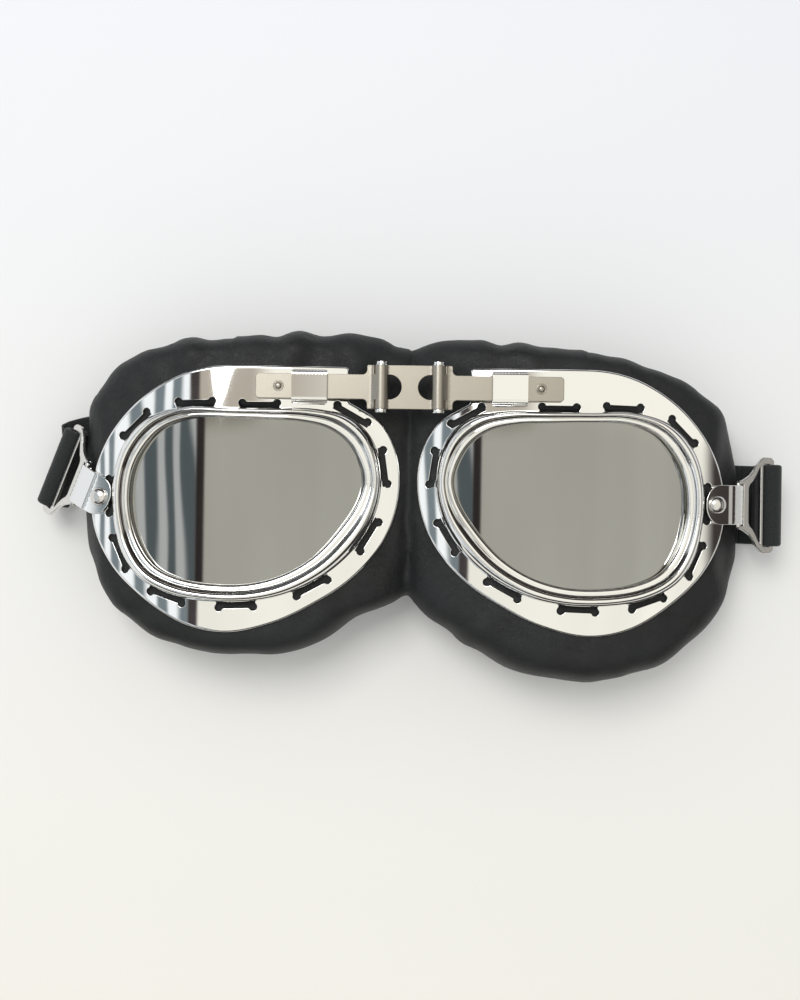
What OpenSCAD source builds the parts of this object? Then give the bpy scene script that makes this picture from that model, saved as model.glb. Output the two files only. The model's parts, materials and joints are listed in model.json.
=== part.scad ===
// Aviator flying goggles: two curved metal lens frames on a soft face mask,
// joined over the nose by a hinged bridge and worn on an elastic strap.
// They lie on their back: X runs across the face, Y up to the brow and Z out
// of the lenses. The origin is under the middle of the goggles.

/* [Frame halves] */
// Width of the plate beside the rim, at the nose and at the temple
plate_side = 5.6; // [5:0.1:8]
// Height of the plate above and below the rim
plate_band = 10.3; // [9:0.1:12]
// Gap between the two plates over the nose
plates_gap = 3.8; // [3:0.1:8]
// Thickness of the frame plate
plate_t = 0.8; // [0.6:0.05:1.2]
// Radius that the frame plate is curved to
plate_r = 130; // [110:5:200]
// Height of the frame plate's crown above the table
crown_z = 31; // [29:0.5:36]
// Height of the square ear that carries the bridge clip
ear_h = 14; // [12:0.5:18]

/* [Lens rim and lens] */
// Width of the rim's band beside the lens
rim_side = 4.7; // [3.8:0.1:5.5]
// Width of the rim's band above and below the lens
rim_band = 3.7; // [3.2:0.1:5]
// How far the rim's bead stands above the plate
rim_rise = 3.6; // [2.5:0.1:5]
// Width of the lens opening
lens_w = 65; // [62:0.2:66]
// Height of the lens opening
lens_h = 45.6; // [43:0.2:47]
// Thickness of the lens
lens_t = 2; // [1.4:0.1:3]
// Radius that the lens is curved to
lens_r = 112; // [100:2:200]
// Thickness of the gasket behind the lens
gasket_t = 1; // [0.8:0.1:2]
// Thickness of the ring that holds the lens in
retainer_t = 2.4; // [1.5:0.1:4]

/* [Ventilation slots] */
// Width of a ventilation slot
slot_w = 2; // [1.6:0.1:2.4]
// Radius of the round lobes at a slot's ends
slot_lobe_r = 1.35; // [1.1:0.05:1.6]

/* [Bridge] */
// Distance between the two hinge pins
pin_spacing = 15.6; // [14:0.2:20]
// Distance of the bridge below the top of the frame plate
bridge_drop = 6; // [5.5:0.1:9]
// Width of the bridge arms
arm_w = 6.4; // [5:0.1:7]
// Thickness of the arms and the link
arm_t = 1.2; // [1:0.1:1.6]
// Length of an arm from its pin to its free end
arm_l = 34; // [32:0.2:38]
// Height of the link over its two knuckles
link_h = 11.6; // [10.5:0.1:13]
// Radius of a rolled knuckle
knuckle_r = 2; // [1.8:0.1:2.4]
// Radius of a hinge pin
pin_r = 0.9; // [0.7:0.05:1]
// Radius of the round notch at each end of the link
notch_r = 3.5; // [3.3:0.1:3.6]
// Distance from the hinge pin to the clip on the ear
clip_reach = 14.2; // [14:0.1:18]
// Length of the clip that an arm slides in
clip_l = 10.6; // [8:0.2:12]
// Wall of the clip
clip_wall = 0.9; // [0.7:0.1:1.2]

/* [Strap fittings] */
// Distance of the rivet from the temple edge of the frame plate
rivet_edge = 1.9; // [1.9:0.1:2.3]
// Radius of the rivet's shank
rivet_r = 1.1; // [0.9:0.1:1.2]
// Radius of the rivet's domed head
rivet_head_r = 2.6; // [2:0.1:3]
// Width of the strap tab
tab_w = 11; // [10:0.5:12]
// Thickness of the folded strap tab
tab_t = 1.2; // [1:0.1:1.6]
// Distance from the rivet to the tab's rolled end
tab_l = 9.4; // [9:0.2:12]
// Angle that the outer part of the tab is bent down
tab_bend = 30; // [15:1:40]
// Resting swivel of the left tab, outer end towards the brow
left_swivel = 24; // [0:1:25]
// Radius of the loop's inner bar
loop_bar_r = 0.8; // [0.7:0.05:1]
// Distance from the loop's inner bar to its outer bar
loop_l = 12.8; // [11:0.2:15]
// Angle that the loop hangs below the tab's rivet face
loop_hang = 10; // [5:1:25]
// The same angle of the left loop, whose tab is turned up
left_hang = 26; // [5:1:30]
// Angle below the rivet face at which the strap leaves its loop
strap_turn = 70; // [60:1:80]
// Thickness of the loop's sheet
loop_t = 1; // [0.8:0.1:1.2]

/* [Mask and strap] */
// How far the soft mask shows beyond the plate at the temple
mask_side = 6.5; // [5:0.1:9]
// How far the soft mask shows above and below the plate
mask_band = 8.7; // [7:0.1:10]
// Half width of the soft piece over the nose
nose_half_w = 4.6; // [4:0.1:5]
// Height of the nose arch above the table
nose_arch = 9; // [7.5:0.5:12]
// Width of the elastic strap
strap_w = 24; // [20:1:25]
// Thickness of the elastic strap
strap_t = 1.5; // [1.2:0.1:1.6]
// Half length of the folded strap
fold_half_l = 43; // [35:1:48]

/* [Hidden] */

// Clearances between pieces
run_gap = 0.05;
slide_gap = 0.12;
seat_gap = 0.05;
soft_gap = 0.35;
over = 1;
round_fn = 96;
curve_fn = 240;
steps = 4;

// Sizes that follow, from the lens outwards
rim_w = lens_w + 2 * rim_side;
rim_h = lens_h + 2 * rim_band;
plate_w = rim_w + 2 * plate_side;
plate_h = rim_h + 2 * plate_band;
half_x = (plate_w + plates_gap) / 2;
mask_half_w = half_x + plate_w / 2 + mask_side;
mask_h = plate_h + 2 * mask_band;
rivet_out = plate_w / 2 - rivet_edge;
bridge_y = plate_h / 2 - bridge_drop;

// Outlines as shares of each piece's own width and height, from the middle of the
// top edge towards the nose and round; every list has its points at the same places
PLATE_SHARES = [[0.05, 0.497], [-0.09, 0.471], [-0.227, 0.423], [-0.346, 0.358],
    [-0.442, 0.283], [-0.494, 0.143], [-0.491, -0.019], [-0.441, -0.169],
    [-0.341, -0.301], [-0.216, -0.396], [-0.09, -0.464], [0.057, -0.5],
    [0.2, -0.47], [0.33, -0.375], [0.433, -0.251], [0.493, -0.097],
    [0.492, 0.078], [0.436, 0.238], [0.336, 0.375], [0.2, 0.468]];
RIM_SHARES = [[0.064, 0.468], [-0.098, 0.469], [-0.248, 0.469], [-0.371, 0.436],
    [-0.462, 0.324], [-0.499, 0.144], [-0.486, -0.04], [-0.428, -0.212],
    [-0.318, -0.37], [-0.176, -0.481], [-0.028, -0.53], [0.135, -0.532],
    [0.284, -0.495], [0.403, -0.404], [0.472, -0.252], [0.5, -0.054],
    [0.495, 0.135], [0.449, 0.297], [0.356, 0.418], [0.218, 0.472]];
LENS_SHARES = [[0.061, 0.481], [-0.091, 0.475], [-0.231, 0.467], [-0.354, 0.427],
    [-0.445, 0.326], [-0.499, 0.157], [-0.484, 0.01], [-0.419, -0.144],
    [-0.305, -0.328], [-0.172, -0.448], [-0.024, -0.508], [0.138, -0.513],
    [0.278, -0.481], [0.386, -0.408], [0.46, -0.262], [0.497, -0.067],
    [0.491, 0.126], [0.444, 0.282], [0.355, 0.414], [0.227, 0.477]];
// The mask's outer edge on each side, as shares of its half width and its height. The two
// halves lie a little askew, as soft leather does.
LEFT_MASK_SHARES = [[0.548, 0.5], [0.415, 0.514], [0.282, 0.519], [0.141, 0.512],
    [0.052, 0.455], [0.051, 0.22], [0.051, 0.022], [0.051, -0.154],
    [0.051, -0.302], [0.149, -0.368], [0.287, -0.46], [0.436, -0.487],
    [0.617, -0.478], [0.771, -0.429], [0.904, -0.324], [0.979, -0.165],
    [1, 0.033], [0.99, 0.21], [0.926, 0.38], [0.745, 0.48]];
RIGHT_MASK_SHARES = [[0.548, 0.47], [0.42, 0.488], [0.287, 0.497], [0.15, 0.502],
    [0.052, 0.455], [0.051, 0.22], [0.051, 0.022], [0.051, -0.154],
    [0.051, -0.305], [0.128, -0.405], [0.287, -0.49], [0.468, -0.524],
    [0.638, -0.522], [0.787, -0.485], [0.918, -0.368], [0.99, -0.21],
    [1, -0.03], [0.993, 0.16], [0.926, 0.32], [0.734, 0.425]];
// Places of the ventilation slots along the rim, counted in outline points, and the
// share of the rim's run that they take up
SLOT_PLACES = [19.2, 0.7, 3.1, 4.85, 6.8, 8.55, 10.35, 12, 13.8, 15.3, 17.5];
SLOTS_SHARE = 0.59;
// Section of the rim: share of its width from the outer edge, share of its rise
RIM_SECTION_SHARES = [[0, 0], [0, 0.3], [0.12, 0.42], [0.24, 0.84], [0.42, 1],
    [0.6, 0.93], [0.76, 0.58], [0.86, 0.36], [1, 0.28], [1, 0]];
// Section of the cushion: share of its width from the eye, share of its height
CUSHION_SECTION_SHARES = [[0, 0.8], [0, 1], [0.3, 1], [0.6, 1], [0.82, 0.95],
    [0.95, 0.8], [1, 0.55], [0.97, 0.3], [0.88, 0.09], [0.72, 0], [0.36, 0],
    [0.18, 0.1], [0.06, 0.42]];

// A closed smooth curve through the points, at t counted in points
function at(p, i) = p[(i + 2 * len(p)) % len(p)];
function smooth(p, t) = let (i = floor(t), f = t - i, a = at(p, i - 1), b = at(p, i),
    c = at(p, i + 1), d = at(p, i + 2))
    b + (f * (c - a) + f * f * (2 * a - 5 * b + 4 * c - d)
        + f * f * f * (3 * b - a - 3 * c + d)) / 2;
function outline(p, n = steps) = [for (k = [0 : len(p) * n - 1]) smooth(p, k / n)];
function scaled(shares, w, h) = [for (s = shares) [s[0] * w, s[1] * h]];
function unit(v) = v / norm(v);
// The outward normal of a counter-clockwise outline at point k
function outward(q, k) = let (d = unit(at(q, k + 1) - at(q, k - 1))) [d[1], -d[0]];
function grown(q, by) = [for (k = [0 : len(q) - 1]) q[k] + by * outward(q, k)];
function mix(a, b, t) = a + t * (b - a);
function ease(t) = let (c = max(0, min(1, t))) c * c * (3 - 2 * c);

plate_points = scaled(PLATE_SHARES, plate_w, plate_h);
rim_points = scaled(RIM_SHARES, rim_w, rim_h);
lens_points = scaled(LENS_SHARES, lens_w, lens_h);
plate_edge = outline(plate_points);
rim_edge = outline(rim_points);
lens_edge = outline(lens_points);

// Height of the plate's outer face above the table at a distance from its middle
function plate_z(x) = crown_z - plate_r + sqrt(plate_r * plate_r - x * x);

// Margins of the lens stack round the lens opening
lens_margin = 1.2;
hole_margin = 1.4;
gasket_lap = 0.5;
cushion_margin = 1.9;

// Rows of a closed tube, its first and last ring joined, as one solid
module swept_ring(rings) {
    n = len(rings);
    m = len(rings[0]);
    points = [for (r = rings) each r];
    faces = [for (i = [0 : n - 1], j = [0 : m - 1]) let (i2 = (i + 1) % n, j2 = (j + 1) % m)
        each [[i * m + j, i * m + j2, i2 * m + j2], [i * m + j, i2 * m + j2, i2 * m + j]]];
    polyhedron(points = points, faces = faces);
}

// A flat shape cut to the layer of a cylinder that lies along Y
module curved(radius, low, high) {
    intersection() {
        linear_extrude(crown_z + rim_rise + over) children();
        translate([0, 0, crown_z - radius]) rotate([90, 0, 0]) difference() {
            cylinder(r = radius + high, h = mask_h * 2, center = true, $fn = curve_fn);
            cylinder(r = radius + low, h = mask_h * 3, center = true, $fn = curve_fn);
        }
    }
}

// One side's pieces are drawn on the right and mirrored for the left
module side(left) {
    if (left) mirror([1, 0, 0]) children();
    else children();
}
module in_half() { translate([half_x, 0, 0]) children(); }

// Frame plate
ear_reach = 8.7;
ear_in = half_x - pin_spacing / 2 - ear_reach;
ear_out = 5;
clip_in = half_x - pin_spacing / 2 - clip_reach;
rivet_x = half_x + rivet_out;
function run(q, k = 0) = k == len(q) ? 0 : norm(at(q, k + 1) - q[k]) + run(q, k + 1);
slot_l = SLOTS_SHARE * run(rim_edge) / len(SLOT_PLACES);
module slot(place) {
    here = smooth(rim_points, place);
    ahead = unit(smooth(rim_points, place + 0.1) - smooth(rim_points, place - 0.1));
    translate(here) rotate(atan2(ahead[1], ahead[0])) {
        translate([-slot_l / 2, -slot_w - seat_gap]) square([slot_l, slot_w]);
        for (end = [-1, 1])
            translate([end * (slot_l / 2 - slot_lobe_r / 2), -slot_w + slot_lobe_r / 2])
                circle(r = slot_lobe_r, $fn = 32);
    }
}
module frame_plate(left) {
    color("gainsboro") side(left) in_half() difference() {
        curved(plate_r, -plate_t, 0) difference() {
            union() {
                polygon(plate_edge);
                translate([-ear_in, plate_h / 2 - ear_h]) square([ear_in + ear_out, ear_h]);
            }
            polygon(grown(lens_edge, hole_margin));
            for (place = SLOT_PLACES) slot(place);
        }
        rivet_place(false) cylinder(r = rivet_r + run_gap, h = crown_z, center = true, $fn = round_fn);
    }
}

// Lens rim with its rounded bead
module lens_rim(left) {
    rings = [for (k = [0 : len(rim_edge) - 1]) [for (s = RIM_SECTION_SHARES)
        let (p = mix(rim_edge[k], lens_edge[k], s[0]))
        [p[0], p[1], plate_z(p[0]) + seat_gap + s[1] * rim_rise]]];
    color("silver") side(left) in_half() swept_ring(rings);
}

// Lens, the gasket behind it and the ring that holds both in
module lens(left) {
    color("lightsteelblue") side(left) in_half()
        curved(lens_r, -lens_t, 0) polygon(grown(lens_edge, lens_margin));
}
module lens_gasket(left) {
    color("dimgray") side(left) in_half()
        curved(lens_r, -lens_t - gasket_t, -lens_t) difference() {
            polygon(grown(lens_edge, lens_margin));
            polygon(grown(lens_edge, -gasket_lap));
        }
}
module lens_retainer(left) {
    color("darkgray") side(left) in_half()
        curved(lens_r, -lens_t - gasket_t - retainer_t, -lens_t - gasket_t) difference() {
            polygon(grown(lens_edge, hole_margin));
            polygon(grown(lens_edge, -gasket_lap));
        }
}

// Soft cushion of one half: crowned, with drawn-in sides, raised over the nose and
// over the strap that passes under the temple
strap_notch_h = strap_t + soft_gap;
notch_low = -17;
notch_high = 21;
notch_run = 6;
arch_run = 26;
gather_d = 0.7;
gathers = 13;
gather_start = 14;
GATHER_SHARES = [0.2, 0.9, 0.5];
FLOOR_SHARE = 0.55;
tab_dip = 4.5;
tab_dip_half_w = 18;
tab_dip_run = 8;
function crown_dip(p) = tab_dip * ease((p[0] - rivet_x) / (tab_flat + tab_t))
    * (1 - ease((abs(p[1]) - tab_dip_half_w) / tab_dip_run));
function cushion_floor(p) = max(
    nose_arch * (1 - ease((p[0] - nose_half_w - soft_gap) / arch_run)),
    p[0] > half_x ? strap_notch_h * (1 - ease((p[1] - notch_high) / notch_run))
        * (1 - ease((notch_low - p[1]) / notch_run)) : 0);
module face_cushion(left) {
    n = 3;
    shares = left ? LEFT_MASK_SHARES : RIGHT_MASK_SHARES;
    outer = outline(scaled(shares, mask_half_w, mask_h), n);
    eye = grown(outline(lens_points, n), cushion_margin);
    rings = [for (k = [0 : len(outer) - 1]) let (
        o = [max(outer[k][0], nose_half_w + soft_gap), outer[k][1]],
        e = [eye[k][0] + half_x, eye[k][1]], low = cushion_floor(mix(e, o, FLOOR_SHARE)))
        [for (s = CUSHION_SECTION_SHARES) let (p = mix(e, o, s[0]),
            high = plate_z(p[0] - half_x) - plate_t - soft_gap - crown_dip(p),
            pinch = s[1] > GATHER_SHARES[0] && s[1] < GATHER_SHARES[1] && s[0] > GATHER_SHARES[2]
                && o[0] > gather_start
                ? gather_d * (1 + cos(k * 360 * gathers / len(outer))) / 2 : 0)
            [p[0] - pinch * unit(o - e)[0], p[1] - pinch * unit(o - e)[1],
                mix(low, high, s[1])]]];
    color("#222426") side(left) swept_ring(rings);
}

// Soft piece over the nose, between the two cushions
NOSE_TOP_SHARE = 0.48;
NOSE_BOTTOM_SHARE = -0.31;
nose_top = mask_h * NOSE_TOP_SHARE;
nose_bottom = mask_h * NOSE_BOTTOM_SHARE;
nose_crown_z = plate_z(plate_w / 2) - plate_t - soft_gap;
nose_edge_r = 4;
module nose_pad() {
    color("#26282a") rotate([90, 0, 90]) linear_extrude(nose_half_w * 2, center = true)
        polygon([[nose_bottom, nose_arch + nose_edge_r], [nose_bottom + nose_edge_r, nose_arch],
            [nose_top - nose_edge_r, nose_arch], [nose_top, nose_arch + nose_edge_r],
            [nose_top, nose_crown_z - nose_edge_r], [nose_top - nose_edge_r, nose_crown_z],
            [nose_bottom + nose_edge_r, nose_crown_z],
            [nose_bottom, nose_crown_z - nose_edge_r]]);
}

// Bridge: two hinge pins, the link between them and the arms outside them
arm_lift = 0.4;
arm_z = crown_z + arm_lift;
pin_z = arm_z + arm_t / 2;
pin_x = pin_spacing / 2;
barrel_h = 2 * notch_r - 2 * slide_gap;
dimple_in = 6;
dimple_r = 1.2;
notch_in = 2.2;
flare_l = 1.6;
module along_y(h, r) { rotate([90, 0, 0]) cylinder(r = r, h = h, center = true, $fn = round_fn); }
module bridge_link() {
    prong_h = link_h / 2 - notch_r;
    color("#b9b2a6") translate([0, bridge_y, 0]) difference() {
        union() {
            translate([0, 0, arm_z]) linear_extrude(arm_t)
                square([pin_spacing, link_h], center = true);
            for (sx = [-1, 1], sy = [-1, 1])
                translate([sx * pin_x, sy * (notch_r + prong_h / 2), pin_z])
                    along_y(prong_h, knuckle_r);
        }
        for (sx = [-1, 1]) {
            translate([sx * pin_x, 0, pin_z]) along_y(link_h * 2, pin_r + run_gap);
            translate([sx * (pin_x - notch_in), 0, arm_z - over])
                cylinder(r = notch_r, h = arm_t + 2 * over, $fn = round_fn);
            translate([sx * pin_x, 0, pin_z])
                cube([2 * notch_in, 2 * notch_r, 3 * knuckle_r], center = true);
        }
    }
}
pin_head_r = 1.6;
pin_head_t = 1;
module hinge_pin(left) {
    color("silver") side(left) translate([pin_x, bridge_y, pin_z]) {
        along_y(link_h + 2 * slide_gap, pin_r);
        for (sy = [-1, 1]) translate([0, sy * (link_h / 2 + slide_gap + pin_head_t / 2), 0])
            along_y(pin_head_t, pin_head_r);
    }
}
module bridge_arm(left) {
    flare_x = knuckle_r + slide_gap;
    color("#b9b2a6") side(left) translate([pin_x, bridge_y, 0]) difference() {
        union() {
            translate([0, 0, pin_z]) along_y(barrel_h, knuckle_r);
            translate([0, 0, arm_z]) linear_extrude(arm_t) {
                translate([0, -arm_w / 2]) square([arm_l, arm_w]);
                translate([flare_x, -link_h / 2]) square([flare_l, link_h]);
            }
            translate([arm_l - dimple_in, 0, arm_z + arm_t - dimple_r / 2])
                sphere(r = dimple_r, $fn = round_fn);
        }
        translate([0, 0, pin_z]) along_y(link_h * 2, pin_r + run_gap);
    }
}

// Clip on the ear: a box collar round the arm, its feet on the plate
clip_foot = 0.9;
clip_foot_t = 0.6;
module arm_clip(left) {
    inner_w = arm_w + 2 * slide_gap;
    outer_w = inner_w + 2 * clip_wall;
    top = arm_z + arm_t + slide_gap + clip_wall;
    color("whitesmoke") side(left) in_half() translate([-clip_in, bridge_y, 0])
        difference() {
            union() {
                translate([0, -outer_w / 2, crown_z / 2]) cube([clip_l, outer_w, top - crown_z / 2]);
                translate([0, -outer_w / 2 - clip_foot, crown_z / 2])
                    cube([clip_l, outer_w + 2 * clip_foot, arm_z - slide_gap - crown_z / 2]);
            }
            translate([-over, -inner_w / 2, arm_z - slide_gap])
                cube([clip_l + 2 * over, inner_w, arm_t + 2 * slide_gap]);
            translate([clip_in, 0, crown_z - plate_r]) rotate([90, 0, 0])
                cylinder(r = plate_r, h = mask_h, center = true, $fn = curve_fn);
        }
}

// The rivet's own place: its axis stands square on the curved plate
rivet_tilt = asin(rivet_out / plate_r);
module rivet_place(from_middle) {
    translate([(from_middle ? half_x : 0) + rivet_out, 0, plate_z(rivet_out)])
        rotate([0, rivet_tilt, 0]) children();
}
// The tab's own place: it lies on the plate and swivels about the rivet
module tab_place(swivel) { rivet_place(true) rotate([0, 0, swivel]) children(); }
rivet_tail_t = 0.22;
rivet_tail_r = 1.9;
module tab_rivet(left) {
    tail_z = -plate_t - run_gap - rivet_tail_t;
    dome_z = tab_t + 2 * run_gap;
    color("silver") side(left) rivet_place(true) {
        translate([0, 0, tail_z]) {
            cylinder(r = rivet_r, h = dome_z + rivet_head_r / 3 - tail_z, $fn = round_fn);
            cylinder(r = rivet_tail_r, h = rivet_tail_t, $fn = round_fn);
        }
        translate([0, 0, dome_z]) intersection() {
            translate([0, 0, -rivet_head_r / 3]) sphere(r = rivet_head_r, $fn = round_fn);
            cylinder(r = rivet_head_r, h = rivet_head_r, $fn = round_fn);
        }
    }
}

// Strap tab: a folded strip, flat on the plate, bent down outside it and rolled
// round the loop's inner bar
tab_nose_r = 3.4;
tab_shoulder = 2.7;
tab_flat = 4.6;
roll_r = loop_bar_r + run_gap + tab_t / 2;
roll_out = tab_l - tab_flat;
bend_z = tab_t / 2 + run_gap;
module strap_tab(left) {
    color("gainsboro") side(left) tab_place(left ? left_swivel : 0) difference() {
        union() {
            translate([0, 0, run_gap]) linear_extrude(tab_t) {
                circle(r = tab_nose_r, $fn = round_fn);
                polygon([[0, -tab_nose_r], [tab_shoulder, -tab_w / 2], [tab_flat, -tab_w / 2],
                    [tab_flat, tab_w / 2], [tab_shoulder, tab_w / 2], [0, tab_nose_r]]);
            }
            translate([tab_flat, 0, bend_z]) rotate([0, tab_bend, 0]) {
                along_y(tab_w, tab_t / 2);
                translate([0, -tab_w / 2, -tab_t / 2]) cube([roll_out, tab_w, tab_t]);
                translate([roll_out, 0, 0]) along_y(tab_w, roll_r);
            }
        }
        cylinder(r = rivet_r + run_gap, h = crown_z, center = true, $fn = round_fn);
        translate([tab_flat, 0, bend_z]) rotate([0, tab_bend, 0]) translate([roll_out, 0, 0])
            along_y(tab_w * 2, loop_bar_r + run_gap);
    }
}

// The loop's own place: X points from its inner bar to its outer bar
function hang(left) = left ? left_hang : loop_hang;
module loop_place(left) {
    tab_place(left ? left_swivel : 0) translate([tab_flat, 0, bend_z]) rotate([0, tab_bend, 0])
        translate([roll_out, 0, 0]) rotate([0, hang(left) - tab_bend, 0]) children();
}
ear_side = 0.9;
loop_side = 1.5;
loop_outer_w = strap_w + 2 * loop_side;
loop_rail = 1.6;
loop_outer_bar = 1.2;
module strap_loop(left) {
    neck = tab_w / 2 + slide_gap + ear_side;
    wide = loop_outer_w / 2;
    throat = roll_r + slide_gap;
    bend = loop_l - wrap_r - strap_t - soft_gap;
    inside = wide - loop_rail;
    color("silver") side(left) loop_place(left) {
        along_y(2 * neck, loop_bar_r);
        translate([0, 0, -loop_t / 2]) linear_extrude(loop_t) difference() {
            polygon([[-loop_bar_r, neck], [-loop_bar_r, neck - ear_side], [throat, neck - ear_side],
                [throat, ear_side - neck], [-loop_bar_r, ear_side - neck], [-loop_bar_r, -neck],
                [throat, -neck - ear_side], [bend - ear_side, -wide],
                [loop_l + loop_outer_bar / 2, -wide], [loop_l + loop_outer_bar / 2, wide],
                [bend - ear_side, wide], [throat, neck + ear_side]]);
            polygon([[throat + loop_rail, -neck], [bend, -inside],
                [loop_l - loop_outer_bar / 2, -inside], [loop_l - loop_outer_bar / 2, inside],
                [bend, inside], [throat + loop_rail, neck]]);
        }
    }
}

// Strap end: the elastic goes round the loop's outer bar and is sewn to itself
wrap_r = 1.7;
tail_l = 2;
end_w = strap_w - 2 * soft_gap;
module strap_end(left) {
    seam = wrap_r + strap_t / 2;
    color("#1d1d1f") side(left) loop_place(left) translate([loop_l, 0, 0]) rotate([90, 0, 0])
        linear_extrude(end_w, center = true) difference() {
            union() {
                circle(r = wrap_r + strap_t, $fn = round_fn);
                rotate(hang(left) - strap_turn) translate([seam, -strap_t])
                    square([wrap_r + strap_t + tail_l - seam, 2 * strap_t]);
            }
            circle(r = wrap_r, $fn = round_fn);
        }
}

// A flat band along a line in the XZ plane
function band(path, t) = let (n = len(path), side = [for (k = [0 : n - 1]) let (
    d = unit(path[min(k + 1, n - 1)] - path[max(k - 1, 0)])) [-d[1], d[0]] * t / 2])
    concat([for (k = [0 : n - 1]) path[k] + side[k]],
        [for (k = [n - 1 : -1 : 0]) path[k] - side[k]]);
function turn(c, r, from, to, n = 12) =
    [for (k = [0 : n]) let (a = mix(from, to, k / n)) c + r * [cos(a), sin(a)]];
module strap_band(path, y) {
    translate([0, y, 0]) rotate([90, 0, 0])
        linear_extrude(strap_w, center = true) polygon(band(path, strap_t));
}

// Folded strap under the goggles, and the leads that run out from it to the loops
fold_gap = 0.3;
layer = strap_t + fold_gap;
floor_line = strap_t / 2;
fold_tail = 14;
lead_start = fold_half_l + fold_tail;
fold_y = 4;
left_lead_y = 6;
right_lead_y = 2;
module strap_fold() {
    far = fold_half_l;
    path = concat([[-lead_start, floor_line]],
        turn([far - layer, floor_line + layer / 2], layer / 2, -90, 90),
        turn([layer - far, floor_line + 1.5 * layer], layer / 2, 270, 90),
        [[far + layer, floor_line + 2 * layer], [far + 2.5 * layer, floor_line + 1.75 * layer],
            [lead_start - 2.5 * layer, floor_line + 0.25 * layer],
            [lead_start - layer, floor_line], [lead_start, floor_line]]);
    color("#232325") strap_band(path, fold_y);
}
// Turns of a vector about Y and Z, as rotate() turns
function turn_y(v, a) = [v[0] * cos(a) + v[2] * sin(a), v[1], v[2] * cos(a) - v[0] * sin(a)];
function turn_z(v, a) = [v[0] * cos(a) - v[1] * sin(a), v[0] * sin(a) + v[1] * cos(a), v[2]];
function from_tab(v, swivel) = turn_y(turn_z(v, swivel), rivet_tilt);
lead_bulge = 3;
lead_sweep = 10;
lead_land = 97;
lead_steps = 14;
module strap_lead(left) {
    swivel = left ? left_swivel : 0;
    down = turn_y([1, 0, 0], strap_turn);
    reach = [tab_flat, 0, bend_z] + turn_y([roll_out, 0, 0], tab_bend)
        + turn_y([loop_l, 0, 0], hang(left)) + (wrap_r + strap_t + tail_l + run_gap) * down;
    a = [rivet_x, 0, plate_z(rivet_out)] + from_tab(reach, swivel);
    y = left ? left_lead_y : right_lead_y;
    d = [lead_land, y, floor_line];
    b = a + lead_bulge * from_tab(down, swivel);
    c = d + [lead_sweep, 0, 0];
    across_a = from_tab([0, 1, 0], swivel);
    line = concat([for (k = [0 : lead_steps]) let (t = k / lead_steps, u = 1 - t)
        u * u * u * a + 3 * u * u * t * b + 3 * u * t * t * c + t * t * t * d],
        [[lead_start + run_gap, fold_y, floor_line]]);
    last = len(line) - 1;
    points = [for (k = [0 : last]) let (
        along = unit(k == 0 ? b - a : k == last ? [-1, 0, 0] : line[k + 1] - line[k - 1]),
        w = unit(mix(across_a, [0, 1, 0], min(1, k / lead_steps))) * strap_w / 2,
        n = unit(cross(along, w)) * strap_t / 2)
        each [line[k] - w - n, line[k] + w - n, line[k] + w + n, line[k] - w + n]];
    faces = concat([[0, 1, 2, 3], [for (j = [3 : -1 : 0]) 4 * last + j]],
        [for (k = [0 : last - 1], j = [0 : 3]) let (i = 4 * k + j, i2 = 4 * k + (j + 1) % 4)
            each [[i, i + 4, i2 + 4], [i, i2 + 4, i2]]]);
    color("#1f1f21") side(left) polyhedron(points = points, faces = faces);
}

bridge_link();
hinge_pin(true);  // hinge_pin_left
hinge_pin(false);  // hinge_pin_right
nose_pad();
bridge_arm(true);  // bridge_arm_left
bridge_arm(false);  // bridge_arm_right
arm_clip(true);  // arm_clip_left
arm_clip(false);  // arm_clip_right
frame_plate(true);  // frame_plate_left
frame_plate(false);  // frame_plate_right
lens_rim(true);  // lens_rim_left
lens_rim(false);  // lens_rim_right
lens(true);  // lens_left
lens(false);  // lens_right
lens_gasket(true);  // lens_gasket_left
lens_gasket(false);  // lens_gasket_right
lens_retainer(true);  // lens_retainer_left
lens_retainer(false);  // lens_retainer_right
face_cushion(true);  // face_cushion_left
face_cushion(false);  // face_cushion_right
tab_rivet(true);  // tab_rivet_left
tab_rivet(false);  // tab_rivet_right
strap_tab(true);  // strap_tab_left
strap_tab(false);  // strap_tab_right
strap_loop(true);  // strap_loop_left
strap_loop(false);  // strap_loop_right
strap_end(true);  // strap_end_left
strap_end(false);  // strap_end_right
strap_lead(true);  // strap_lead_left
strap_lead(false);  // strap_lead_right
strap_fold();
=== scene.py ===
# %% [markdown]
# # Aviator flying goggles
# A pair of goggles made of two chrome frames on a soft black mask. They lie on their back on a
# table, so the lenses look up at the camera. The solid model gives every place and size. This
# lesson makes the surfaces: mirror, chrome, satin nickel, leather and elastic.

# %% Load the solid model
import json
import math

import bmesh
import bpy
import numpy as np
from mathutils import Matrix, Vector, noise
from mathutils.geometry import delaunay_2d_cdt


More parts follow.
